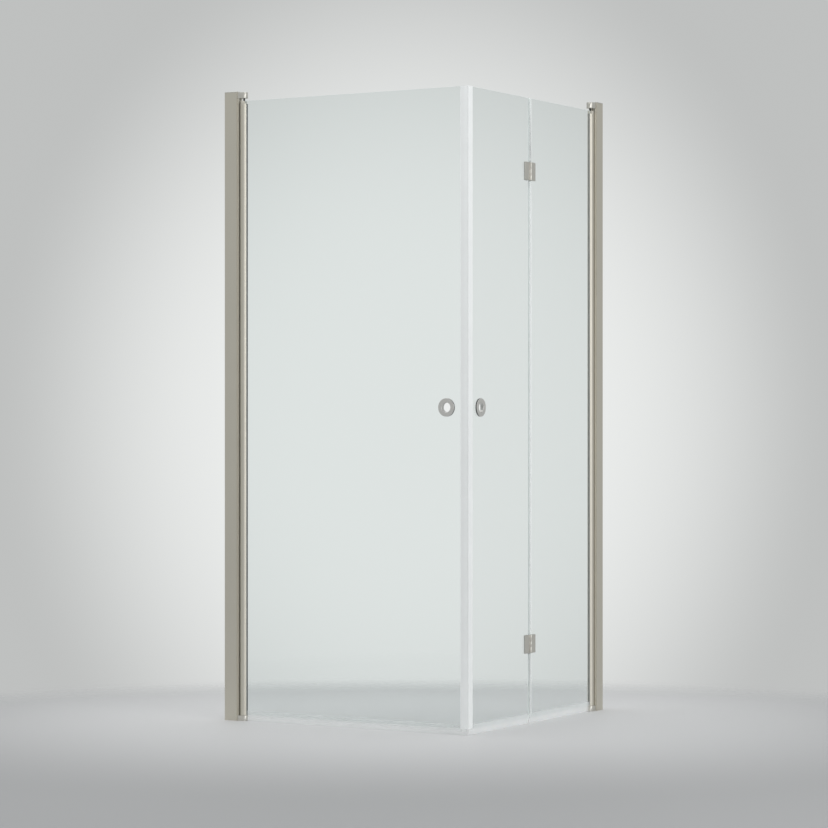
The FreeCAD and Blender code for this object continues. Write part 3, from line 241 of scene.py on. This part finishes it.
# Painted pool of light: the floor's colour is lightest round the screen and darkens further out.
pool = shade_between(tree, outward.outputs["Value"], PAINTED_POOL_CORE, PAINTED_POOL_EDGE,
                     (PAINTED_POOL_LIGHT, PAINTED_POOL_DIM), (-500, 100))
tree.links.new(pool, matte.inputs["Base Color"])
tree.links.new(reach.outputs["Value"], fade.inputs["Value"])
tree.links.new(fade.outputs["Result"], matte.inputs["Alpha"])
floor.data.materials.append(floor_paint)
print("floor radius", FLOOR_RADIUS, "round", [round(v, 2) for v in floor_middle])

# %% [markdown]
# Most finishes here share two effects. Extruded and brushed metal carries fine lines along its length,
# and every surface has a faint unevenness that breaks up its reflection. Each effect is a node group
# that only gives values and normals, so that a material keeps its own shader.

# %% Shader groups: grain and unevenness


def group_with(name, inputs, outputs):
    """A shader node group with named sockets: (name, kind, default)."""
    made = bpy.data.node_groups.new(name, "ShaderNodeTree")
    for label, kind, default in inputs:
        socket = made.interface.new_socket(label, in_out="INPUT", socket_type="NodeSocket" + kind)
        socket.default_value = default
    for label, kind in outputs:
        made.interface.new_socket(label, in_out="OUTPUT", socket_type="NodeSocket" + kind)
    start = made.nodes.new("NodeGroupInput")
    start.location = (-900, 0)
    end = made.nodes.new("NodeGroupOutput")
    end.location = (700, 0)
    return made, start, end


def make_grain():
    """Fine lines along the piece: Across says how often they change along each axis."""
    made, start, end = group_with(
        "drawn_grain",
        [("Across", "Vector", (1800.0, 1800.0, 9.0)), ("Depth", "Float", 0.05),
         ("Roughness", "Float", 0.3), ("Variation", "Float", 0.08)],
        [("Tone", "Float"), ("Roughness", "Float"), ("Normal", "Vector")])
    place = node_of(made, "ShaderNodeTexCoord", (-900, 300))
    stretch = node_of(made, "ShaderNodeVectorMath", (-700, 200), operation="MULTIPLY")
    lines = node_of(made, "ShaderNodeTexNoise", (-500, 200))
    lines.inputs["Scale"].default_value = 1.0
    lines.inputs["Detail"].default_value = 3.0
    cloud = node_of(made, "ShaderNodeTexNoise", (-500, -100))
    cloud.inputs["Scale"].default_value = 5.0
    cloud.inputs["Detail"].default_value = 2.0
    tone = node_of(made, "ShaderNodeMapRange", (-250, -100))
    tone.inputs["To Min"].default_value = 0.97
    tone.inputs["To Max"].default_value = 1.03
    spread = node_of(made, "ShaderNodeMath", (-250, 100), operation="MULTIPLY_ADD")
    bump = node_of(made, "ShaderNodeBump", (200, 250))
    bump.inputs["Distance"].default_value = 0.0002
    made.links.new(place.outputs["Object"], stretch.inputs[0])
    made.links.new(start.outputs["Across"], stretch.inputs[1])
    made.links.new(stretch.outputs["Vector"], lines.inputs["Vector"])
    made.links.new(place.outputs["Object"], cloud.inputs["Vector"])
    made.links.new(cloud.outputs["Fac"], tone.inputs["Value"])
    made.links.new(lines.outputs["Fac"], spread.inputs[0])
    made.links.new(start.outputs["Variation"], spread.inputs[1])
    made.links.new(start.outputs["Roughness"], spread.inputs[2])
    made.links.new(lines.outputs["Fac"], bump.inputs["Height"])
    made.links.new(start.outputs["Depth"], bump.inputs["Strength"])
    made.links.new(tone.outputs["Result"], end.inputs["Tone"])
    made.links.new(spread.outputs["Value"], end.inputs["Roughness"])
    made.links.new(bump.outputs["Normal"], end.inputs["Normal"])
    return made


def make_unevenness():
    """A faint waviness of moulded and drawn plastics and glass."""
    made, start, end = group_with(
        "faint_unevenness",
        [("Scale", "Float", 60.0), ("Depth", "Float", 0.04), ("Roughness", "Float", 0.3),
         ("Variation", "Float", 0.06)],
        [("Mask", "Float"), ("Roughness", "Float"), ("Normal", "Vector")])
    place = node_of(made, "ShaderNodeTexCoord", (-900, 300))
    wave = node_of(made, "ShaderNodeTexNoise", (-600, 200))
    wave.inputs["Detail"].default_value = 4.0
    spread = node_of(made, "ShaderNodeMath", (-250, 100), operation="MULTIPLY_ADD")
    bump = node_of(made, "ShaderNodeBump", (200, 250))
    bump.inputs["Distance"].default_value = 0.0005
    made.links.new(place.outputs["Object"], wave.inputs["Vector"])
    made.links.new(start.outputs["Scale"], wave.inputs["Scale"])
    made.links.new(wave.outputs["Fac"], spread.inputs[0])
    made.links.new(start.outputs["Variation"], spread.inputs[1])
    made.links.new(start.outputs["Roughness"], spread.inputs[2])
    made.links.new(wave.outputs["Fac"], bump.inputs["Height"])
    made.links.new(start.outputs["Depth"], bump.inputs["Strength"])
    made.links.new(wave.outputs["Fac"], end.inputs["Mask"])
    made.links.new(spread.outputs["Value"], end.inputs["Roughness"])
    made.links.new(bump.outputs["Normal"], end.inputs["Normal"])
    return made


grain_group = make_grain()
unevenness_group = make_unevenness()
print("groups:", grain_group.name, unevenness_group.name)

# %% Helpers for materials


def start_material(name):
    """A material with its Principled shader, and its tree."""
    made = bpy.data.materials.new(name)
    made.use_nodes = True
    return made, made.node_tree, made.node_tree.nodes["Principled BSDF"]


def use_group(tree, group, values):
    """A group placed in a material with its own values."""
    placed = node_of(tree, "ShaderNodeGroup", (-600, 0))
    placed.node_tree = group
    for name, value in values.items():
        placed.inputs[name].default_value = value
    return placed


def toned(tree, colour, factor_socket):
    """A colour multiplied by a value that changes over the surface."""
    mix = node_of(tree, "ShaderNodeMix", (-300, 200), data_type="RGBA", blend_type="MULTIPLY")
    mix.inputs["Factor"].default_value = 1.0
    mix.inputs["A"].default_value = (*colour, 1.0)
    tree.links.new(factor_socket, mix.inputs["B"])
    return mix.outputs["Result"]


def mottled(tree, shader, uneven, colour, darkest, lightest):
    """Colour, roughness and normal from the unevenness group; the colour varies between two shares."""
    shade = node_of(tree, "ShaderNodeMapRange", (-450, 300))
    shade.inputs["To Min"].default_value = darkest
    shade.inputs["To Max"].default_value = lightest
    tree.links.new(uneven.outputs["Mask"], shade.inputs["Value"])
    tree.links.new(toned(tree, colour, shade.outputs["Result"]), shader.inputs["Base Color"])
    tree.links.new(uneven.outputs["Roughness"], shader.inputs["Roughness"])
    tree.links.new(uneven.outputs["Normal"], shader.inputs["Normal"])


# %% [markdown]
# The profiles are anodised aluminium in a warm champagne grey. The anodic layer leaves them satin, so
# they mirror the room only softly, and the drawing die leaves its lines along Z. The clamps, brackets
# and rings are machined and dyed to match, with a finer grain.

# %% Champagne metal
CHAMPAGNE = (0.675, 0.645, 0.568)
MACHINED_TONE = (0.670, 0.652, 0.605)
TURNED_TONE = (0.730, 0.722, 0.700)
STEEL_TONE = (0.56, 0.55, 0.53)
# Painted shade: the top pins are made nearly black, to darken the shadowed gap under each top bracket.
PIN_SHADE_BLACK = (0.05, 0.05, 0.05)
DRAWN_LINES = (1800.0, 1800.0, 9.0)
MILLED_LINES = (2500.0, 2500.0, 900.0)
TURNED_LINES = (2500.0, 2500.0, 2500.0)
STEEL_LINES = (3000.0, 3000.0, 400.0)


def champagne_metal(name, across, depth, roughness, colour=CHAMPAGNE):
    """A satin metal with fine lines; with another colour it also serves for the steel."""
    made, tree, shader = start_material(name)
    grain = use_group(tree, grain_group, {
        "Across": across, "Depth": depth, "Roughness": roughness, "Variation": 0.08})
    tree.links.new(toned(tree, colour, grain.outputs["Tone"]), shader.inputs["Base Color"])
    tree.links.new(grain.outputs["Roughness"], shader.inputs["Roughness"])
    tree.links.new(grain.outputs["Normal"], shader.inputs["Normal"])
    shader.inputs["Metallic"].default_value = 1.0
    return made


profile_metal = champagne_metal("champagne_extrusion", DRAWN_LINES, 0.10, 0.46)
machined_metal = champagne_metal("champagne_machined", MILLED_LINES, 0.05, 0.36, MACHINED_TONE)
turned_metal = champagne_metal("turned_satin", TURNED_LINES, 0.03, 0.30, TURNED_TONE)
steel = champagne_metal("plain_steel", STEEL_LINES, 0.05, 0.22, STEEL_TONE)
# Painted shade: a nearly black steel for the top pins, standing in for the shade in the gap under the
# brackets.
pin_painted_shade_steel = champagne_metal("pin_painted_shade_steel", STEEL_LINES, 0.05, 0.40, PIN_SHADE_BLACK)
print("metals:", profile_metal.name, machined_metal.name, turned_metal.name, steel.name, pin_painted_shade_steel.name)

# %% [markdown]
# The panes are 6 mm float glass, nearly invisible when seen face-on, and they let most of the lamps'
# light through, so that they cast hardly any shadow. Their edges are ground: a pale, frosted line that
# is a finish of its own.

# %% Clear glass and its ground edge
GLASS_FACE = (0.885, 0.920, 0.915)
EDGE_PALE = (0.90, 0.955, 0.94)
EDGE_SHOWS = 0.80
SHADOW_LET_THROUGH = 0.9
GLASS_IOR = 1.5


def clear_glass():
    """Polished glass that lets nearly all light through to what stands behind it."""
    made, tree, shader = start_material("clear_glass")
    uneven = use_group(tree, unevenness_group, {
        "Scale": 2.0, "Depth": 0.0, "Roughness": 0.0, "Variation": 0.01})
    path = node_of(tree, "ShaderNodeLightPath", (-500, -300))
    see_through = node_of(tree, "ShaderNodeMath", (-200, -300), operation="MULTIPLY_ADD")
    see_through.inputs[1].default_value = -SHADOW_LET_THROUGH
    see_through.inputs[2].default_value = 1.0
    shader.inputs["Base Color"].default_value = (*GLASS_FACE, 1.0)
    tree.links.new(uneven.outputs["Roughness"], shader.inputs["Roughness"])
    tree.links.new(path.outputs["Is Shadow Ray"], see_through.inputs[0])
    tree.links.new(see_through.outputs["Value"], shader.inputs["Alpha"])
    shader.inputs["Transmission Weight"].default_value = 1.0
    shader.inputs["IOR"].default_value = GLASS_IOR
    return made


def ground_edge():
    """The pale, frosted edge that a grinding belt leaves on a pane."""
    made, tree, shader = start_material("ground_glass_edge")
    uneven = use_group(tree, unevenness_group, {
        "Scale": 300.0, "Depth": 0.05, "Roughness": 0.45, "Variation": 0.15})
    mottled(tree, shader, uneven, EDGE_PALE, 0.94, 1.04)
    shader.inputs["Alpha"].default_value = EDGE_SHOWS
    return made


pane_glass = clear_glass()
pane_edge = ground_edge()
print("glass:", pane_glass.name, pane_edge.name)

# %% [markdown]
# The seals are clear soft plastic with thin walls. A wall seen square on is hardly there, and one seen
# along its face is a pale line, so how much of it shows goes by its slant to the eye. The two that
# carry the magnets are thicker and look milky. The gaskets are grey rubber, and the magnets are cased in
# pale plastic. The cams and end plugs are pale nylon, darkened to a mid grey-brown as painted shade
# for the shadowed gap under each top bracket. The washers under the ring handles are nearly black.

# %% Seals, gaskets, plugs and magnets
SEAL_WHITE = (0.96, 0.98, 0.98)
GASKET_GREY = (0.36, 0.37, 0.36)
# Painted shade: the pale nylon of the plugs and cams is darkened, to shade the gap under the top brackets.
PLUG_PAINTED_SHADE_TONE = (0.50, 0.475, 0.415)
WASHER_DARK = (0.045, 0.045, 0.045)
MAGNET_PALE = (0.97, 0.98, 0.98)
CLEAR_SHOWS = (0.12, 0.50)
MILKY_SHOWS = (0.76, 0.93)
SLANT_BLEND = 0.35


def soft_plastic(name, colour, roughness, scale, depth, clear=None):
    """A moulded plastic; clear gives how much of it shows square on and along the face."""
    made, tree, shader = start_material(name)
    uneven = use_group(tree, unevenness_group, {
        "Scale": scale, "Depth": depth, "Roughness": roughness, "Variation": 0.12})
    mottled(tree, shader, uneven, colour, 0.95, 1.03)
    if clear:
        slant = node_of(tree, "ShaderNodeLayerWeight", (-450, -300))
        slant.inputs["Blend"].default_value = SLANT_BLEND
        shows = node_of(tree, "ShaderNodeMapRange", (-250, -300))
        shows.inputs["To Min"].default_value = clear[0]
        shows.inputs["To Max"].default_value = clear[1]
        tree.links.new(slant.outputs["Facing"], shows.inputs["Value"])
        tree.links.new(shows.outputs["Result"], shader.inputs["Alpha"])
    return made


clear_seal = soft_plastic("clear_seal", SEAL_WHITE, 0.25, 12.0, 0.02, clear=CLEAR_SHOWS)
grey_gasket = soft_plastic("grey_gasket", GASKET_GREY, 0.55, 400.0, 0.15)
# Painted shade: this plastic is darkened so that the gap under each top bracket looks shaded.
pale_plastic = soft_plastic("pale_plastic", PLUG_PAINTED_SHADE_TONE, 0.40, 900.0, 0.10)
dark_washer = soft_plastic("dark_washer", WASHER_DARK, 0.50, 500.0, 0.10)
milky_seal = soft_plastic("milky_seal", SEAL_WHITE, 0.30, 12.0, 0.02, clear=MILKY_SHOWS)
magnet_core = soft_plastic("magnet_core", MAGNET_PALE, 0.45, 300.0, 0.05)
print("plastics:", clear_seal.name, milky_seal.name, grey_gasket.name, pale_plastic.name, dark_washer.name)

# %% Finish for every node
MACHINED = ("ring", "hinge", "bracket", "cap")
FINISHES = {"plain_steel": steel, "clear_glass": pane_glass, "clear_seal": clear_seal,
            "grey_gasket": grey_gasket, "pale_plastic": pale_plastic, "magnet_core": magnet_core}


def finish_of(name, slot):
    """The material of a node, from its slot in the record and its name."""
    if slot == "champagne_metal":
        return machined_metal if any(word in name for word in MACHINED) else profile_metal
    if "magnet_seal" in name:
        return milky_seal
    # Painted shade: the top pins get the nearly black steel that darkens the gap under the top brackets.
    if "top_pin" in name:
        return pin_painted_shade_steel
    return FINISHES[slot]


slot_of = {part["node"]: part["material_slot"] for part in record["subparts"]}
for name, piece in nodes.items():
    piece.data.materials.clear()
    piece.data.materials.append(finish_of(name, slot_of[name]))
print("finishes:", len(set(piece.data.materials[0].name for piece in nodes.values())))

# %% [markdown]
# The frame's pieces have sharp edges. On the real brackets, caps and glass hinges the edges are broken
# before anodising, and that small round is what catches the light. A piece is softened on a copy: its
# loose triangles are merged and joined into flat faces, and a bevel runs along every real edge.

# %% Helpers for pieces that replace a node
SHARP_ANGLE = math.radians(35)
FLAT_ANGLE = math.radians(0.5)
MERGE_WITHIN = 0.000002
body_of = {name: body for body, names in record["behaviour"]["bodies"].items() for name in names}


def shown_for(name, mesh, materials, label):
    """An object that stands for a node: it has the node's body and slot."""
    piece = bpy.data.objects.new(label, mesh)
    bpy.context.scene.collection.objects.link(piece)
    if mesh.materials:
        mesh.materials.clear()
    for material in materials:
        mesh.materials.append(material)
    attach(piece, body_of[name])
    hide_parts(name)


def plain_mesh(piece):
    """The mesh that an object's modifiers give, as plain data; the object goes."""
    made = bpy.data.meshes.new_from_object(piece.evaluated_get(bpy.context.evaluated_depsgraph_get()))
    bpy.data.objects.remove(piece)
    return made


def bevelled(mesh, width, segments, label):
    """A mesh with its edges rounded, inside its own outline."""
    piece = bpy.data.objects.new(label, mesh)
    bpy.context.scene.collection.objects.link(piece)
    bevel = piece.modifiers.new("broken_edges", "BEVEL")
    bevel.width = width
    bevel.segments = segments
    bevel.limit_method = "ANGLE"
    bevel.angle_limit = SHARP_ANGLE
    bevel.harden_normals = True
    mesh.shade_smooth()
    return plain_mesh(piece)


def merged_copy(name):
    """A copy of a node's mesh with its triangles joined into flat faces."""
    mesh = nodes[name].data.copy()
    drawing = bmesh.new()
    drawing.from_mesh(mesh)
    bmesh.ops.remove_doubles(drawing, verts=drawing.verts, dist=MERGE_WITHIN)
    bmesh.ops.dissolve_limit(drawing, angle_limit=FLAT_ANGLE, verts=drawing.verts, edges=drawing.edges)
    drawing.to_mesh(mesh)
    drawing.free()
    return mesh


# %% Brackets, caps and glass hinges with broken edges
EDGE_ROUND = {"hinge": 1.0 * MM, "bracket": 0.7 * MM, "cap": 0.6 * MM}
ROUND_STEPS = 2
SOFTENED = ("_half", "_clamp", "_brackets", "_cap")

softened = [name for name in nodes if any(word in name for word in SOFTENED)]
for name in softened:
    width = next(size for word, size in EDGE_ROUND.items() if word in name)
    mesh = bevelled(merged_copy(name), width, ROUND_STEPS, name + "_sharp")
    shown_for(name, mesh, [machined_metal], name + "_rounded")
    print(name, "faces:", len(mesh.polygons))

# %% [markdown]
# A pane's flat faces are polished and its narrow edges are ground, so a copy of each pane has two
# finishes, told apart by which way each flat looks.

# %% Panes with ground edges
FACE_ON = 0.98
PANES = {"left_glass": Vector((0, 1, 0)), "wall_leaf_glass": Vector((1, 0, 0)),
         "free_leaf_glass": Vector((1, 0, 0))}

for name, facing in PANES.items():
    mesh = nodes[name].data.copy()
    shown_for(name, mesh, [pane_glass, pane_edge], name + "_pane")
    for flat in mesh.polygons:
        flat.material_index = 0 if abs(flat.normal.dot(facing)) > FACE_ON else 1
    print(name, "edge flats:", sum(flat.material_index for flat in mesh.polygons))

# %% [markdown]
# A ring handle is turned on a lathe: an outer ring with a rounded rim and a mouth that leads the finger
# in, a low rim inside the shower, and a sleeve that joins them through the glass. A dark washer lies
# between the ring and the glass and shows as a thin dark crescent. Each section is drawn as corners
# with a round each and swept about the axis of the hole.

# %% Helpers for turned pieces


def rounded(corners, steps=5):
    """A closed outline whose corners (x, y, round) are arcs."""
    outline = []
    for number, (x, y, radius) in enumerate(corners):
        here = Vector((x, y))
        before = Vector(corners[number - 1][:2]) - here
        after = Vector(corners[(number + 1) % len(corners)][:2]) - here
        half = before.angle(after) / 2
        if radius == 0:
            outline.append(here)
            continue
        start = here + before.normalized() * (radius / math.tan(half))
        end = here + after.normalized() * (radius / math.tan(half))
        inward = (before.normalized() + after.normalized()).normalized()
        centre = here + inward * (radius / math.sin(half))
        sweep = (start - centre).angle_signed(end - centre)
        for step in range(steps + 1):
            turn = Matrix.Rotation(-sweep * step / steps, 2)
            outline.append(centre + turn @ (start - centre))
    return outline


def lathe(name, outlines, centre, outward, segments=112):
    """Closed outlines of (radius, height), each with its material's number, swept about the axis."""
    up = Vector((0, 0, 1))
    across = outward.cross(up)
    drawing = bmesh.new()
    for material, outline in outlines:
        rings = []
        for step in range(segments):
            angle = math.tau * step / segments
            arm = across * math.cos(angle) + up * math.sin(angle)
            rings.append([drawing.verts.new(centre + arm * p.x + outward * p.y) for p in outline])
        for ring, following in zip(rings, rings[1:] + rings[:1]):
            for number in range(len(ring)):
                face = drawing.faces.new((ring[number - 1], ring[number],
                                          following[number], following[number - 1]))
                face.material_index = material
    bmesh.ops.recalc_face_normals(drawing, faces=drawing.faces)
    mesh = bpy.data.meshes.new(name)
    drawing.to_mesh(mesh)
    drawing.free()
    mesh.shade_smooth()
    mesh.set_sharp_from_angle(angle=SHARP_ANGLE)
    return mesh


# %% Ring handles
RING_BORE = 14.75 * MM
SLEEVE_OUTER = 16.95 * MM
RIM_ROUND = 0.7 * MM
MOUTH_ROUND = 1.2 * MM
INNER_RIM = 20.0 * MM
RING_PLATE = 1.2 * MM
WASHER_INSET = 0.05 * MM
SEAT_ROUND = 0.1 * MM
SLEEVE_ROUND = 0.3 * MM
INNER_ROUND = 0.6 * MM
SLEEVE_MOUTH = 0.8 * MM


def reach_along(low, high, outward):
    """The near and the far end of a box along a direction."""
    return sorted((abs(low.dot(outward)), abs(high.dot(outward))))


def ring_handle(name, glass, outward, label):
    """The turned handle of one door, from the places of its node and its pane."""
    low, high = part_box(name)
    inner, outer = reach_along(low, high, outward)
    back, face = reach_along(*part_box(glass), outward)
    middle = (low + high) / 2
    centre = middle - outward * middle.dot(outward)
    radius = (high.z - low.z) / 2
    under = outer - RING_PLATE
    washer = rounded([
        (SLEEVE_OUTER, face, 0), (radius - WASHER_INSET, face, 0), (radius - WASHER_INSET, under, 0),
        (SLEEVE_OUTER, under, 0)])
    ring = rounded([
        (RING_BORE, under, 0), (radius, under, SEAT_ROUND), (radius, outer, RIM_ROUND),
        (RING_BORE, outer, MOUTH_ROUND)])
    inner_rim = rounded([
        (SLEEVE_OUTER, back, 0), (SLEEVE_OUTER, inner, SLEEVE_ROUND),
        (INNER_RIM, inner, INNER_ROUND), (INNER_RIM, back, 0)])
    sleeve = rounded([
        (RING_BORE, under, 0), (SLEEVE_OUTER, under, 0),
        (SLEEVE_OUTER, inner, SLEEVE_ROUND), (RING_BORE, inner, SLEEVE_MOUTH)])
    mesh = lathe(label, [(0, ring), (0, inner_rim), (0, sleeve), (1, washer)], centre, outward)
    shown_for(name, mesh, [turned_metal, dark_washer], label)
    print(label, "faces:", len(mesh.polygons), "radius mm:", round(radius / MM, 2))


ring_handle("left_ring_handle", "left_glass", Vector((0, -1, 0)), "left_ring_turned")
ring_handle("right_ring_handle", "free_leaf_glass", Vector((1, 0, 0)), "right_ring_turned")

# %% [markdown]
# The screws repeat, so one Geometry Nodes tree makes them all: a round head with a six-sided socket cut
# into it, and a shank, placed on every point it is given. Each point carries the turn that aims its
# screw. The tree ends in real geometry with its material, because instances are lost on export.

# %% Tree for socket screws


def screw_tree():
    """Socket screws on points: head and shank sizes are inputs, the turn comes from each point."""
    tree = bpy.data.node_groups.new("socket_screws", "GeometryNodeTree")
    for label, kind in (("Points", "Geometry"), ("Head Radius", "Float"), ("Head Height", "Float"),
                        ("Socket Radius", "Float"), ("Shank Radius", "Float"), ("Shank Length", "Float"),
                        ("Metal", "Material")):
        tree.interface.new_socket(label, in_out="INPUT", socket_type="NodeSocket" + kind)
    tree.interface.new_socket("Screws", in_out="OUTPUT", socket_type="NodeSocketGeometry")
    start = node_of(tree, "NodeGroupInput", (-1200, 0))
    end = node_of(tree, "NodeGroupOutput", (1000, 0))

    def cylinder(sides, radius, depth, shift, place):
        """A cylinder along Z, moved up by a share of its depth."""
        made = node_of(tree, "GeometryNodeMeshCylinder", place)
        made.inputs["Vertices"].default_value = sides
        half = node_of(tree, "ShaderNodeMath", (place[0], place[1] - 220), operation="MULTIPLY")
        half.inputs[1].default_value = shift
        lift = node_of(tree, "ShaderNodeCombineXYZ", (place[0] + 150, place[1] - 220))
        moved = node_of(tree, "GeometryNodeTransform", (place[0] + 250, place[1]))
        tree.links.new(start.outputs[radius], made.inputs["Radius"])
        tree.links.new(start.outputs[depth], made.inputs["Depth"])
        tree.links.new(start.outputs[depth], half.inputs[0])
        tree.links.new(half.outputs["Value"], lift.inputs["Z"])
        tree.links.new(made.outputs["Mesh"], moved.inputs["Geometry"])
        tree.links.new(lift.outputs["Vector"], moved.inputs["Translation"])
        return moved.outputs["Geometry"]

    head = cylinder(32, "Head Radius", "Head Height", 0.5, (-900, 400))
    socket = cylinder(6, "Socket Radius", "Head Height", 0.9, (-900, 0))
    shank = cylinder(24, "Shank Radius", "Shank Length", -0.5, (-900, -400))
    cut = node_of(tree, "GeometryNodeMeshBoolean", (-300, 300), operation="DIFFERENCE")
    both = node_of(tree, "GeometryNodeJoinGeometry", (-50, 100))
    turn = node_of(tree, "GeometryNodeInputNamedAttribute", (-50, -200), data_type="FLOAT_VECTOR")
    turn.inputs["Name"].default_value = "turn"
    placed = node_of(tree, "GeometryNodeInstanceOnPoints", (200, 0))
    real = node_of(tree, "GeometryNodeRealizeInstances", (450, 0))
    coat = node_of(tree, "GeometryNodeSetMaterial", (700, 0))
    tree.links.new(head, cut.inputs["Mesh 1"])
    tree.links.new(socket, cut.inputs["Mesh 2"])
    tree.links.new(cut.outputs["Mesh"], both.inputs["Geometry"])
    tree.links.new(shank, both.inputs["Geometry"])
    tree.links.new(start.outputs["Points"], placed.inputs["Points"])
    tree.links.new(both.outputs["Geometry"], placed.inputs["Instance"])
    tree.links.new(turn.outputs["Attribute"], placed.inputs["Rotation"])
    tree.links.new(placed.outputs["Instances"], real.inputs["Geometry"])
    tree.links.new(real.outputs["Geometry"], coat.inputs["Geometry"])
    tree.links.new(start.outputs["Metal"], coat.inputs["Material"])
    tree.links.new(coat.outputs["Geometry"], end.inputs["Screws"])
    return tree


screws_of = screw_tree()
inputs_of = {item.name: item.identifier for item in screws_of.interface.items_tree
             if item.in_out == "INPUT"}
print("screw inputs:", sorted(inputs_of))

# %% Screws in their places
TO_LEFT_DOOR = (math.radians(-90), 0.0, 0.0)
TO_RIGHT_DOOR = (0.0, math.radians(-90), 0.0)
SCREW_ROUND = 0.25 * MM


def screws(name, places, sizes, label):
    """Screws for one node: places are (point under the head, turn), sizes are named tree inputs."""
    mesh = bpy.data.meshes.new(label + "_points")
    mesh.from_pydata([point for point, turn in places], [], [])
    turns = mesh.attributes.new("turn", "FLOAT_VECTOR", "POINT")
    for number, (point, turn) in enumerate(places):
        turns.data[number].vector = turn
    holder = bpy.data.objects.new(label + "_points", mesh)
    bpy.context.scene.collection.objects.link(holder)
    maker = holder.modifiers.new("socket_screws", "NODES")
    maker.node_group = screws_of
    for title, value in sizes.items():
        maker[inputs_of[title]] = value
    maker[inputs_of["Metal"]] = steel
    made = bevelled(plain_mesh(holder), SCREW_ROUND, 1, label + "_sharp")
    shown_for(name, made, [steel], label)
    print(label, "screws:", len(places), "faces:", len(made.polygons))


HINGE_SCREW = {"Head Radius": 4.4 * MM, "Head Height": 2.5 * MM, "Socket Radius": 1.75 * MM,
               "Shank Radius": 2.4 * MM, "Shank Length": 11.0 * MM}
HINGE_SCREW_SPACING = 34.0 * MM
for leaf in ("wall", "free"):
    low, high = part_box(leaf + "_leaf_hinge_screws")
    under_head = low.x + HINGE_SCREW["Head Height"]
    places = []
    for level in ("lower", "upper"):
        clamp_low, clamp_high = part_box(f"{level}_hinge_{leaf}_clamp")
        for step in (-0.5, 0.5):
            height = (clamp_low.z + clamp_high.z) / 2 + HINGE_SCREW_SPACING * step
            places.append(((under_head, (low.y + high.y) / 2, height), TO_RIGHT_DOOR))
    screws(leaf + "_leaf_hinge_screws", places, HINGE_SCREW, leaf + "_leaf_socket_screws")

LOCK_SCREW = {"Head Radius": 3.4 * MM, "Head Height": 2.2 * MM, "Socket Radius": 1.3 * MM,
              "Shank Radius": 1.6 * MM, "Shank Length": 8.9 * MM}
LOCK_INSET = 24.0 * MM
low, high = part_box("lock_screws")
channel_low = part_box("right_wall_channel")[0]
along = channel_low.y + LOCK_INSET
inner_face = channel_low.x
head_half = high.y - along
lock_heights = [low.z + head_half, (low.z + high.z) / 2, high.z - head_half]
right_places = [((inner_face, along, z), TO_RIGHT_DOOR) for z in lock_heights]
left_places = [((-along, -inner_face, z), TO_LEFT_DOOR) for z in lock_heights]
screws("lock_screws", right_places + left_places, LOCK_SCREW, "channel_lock_screws")
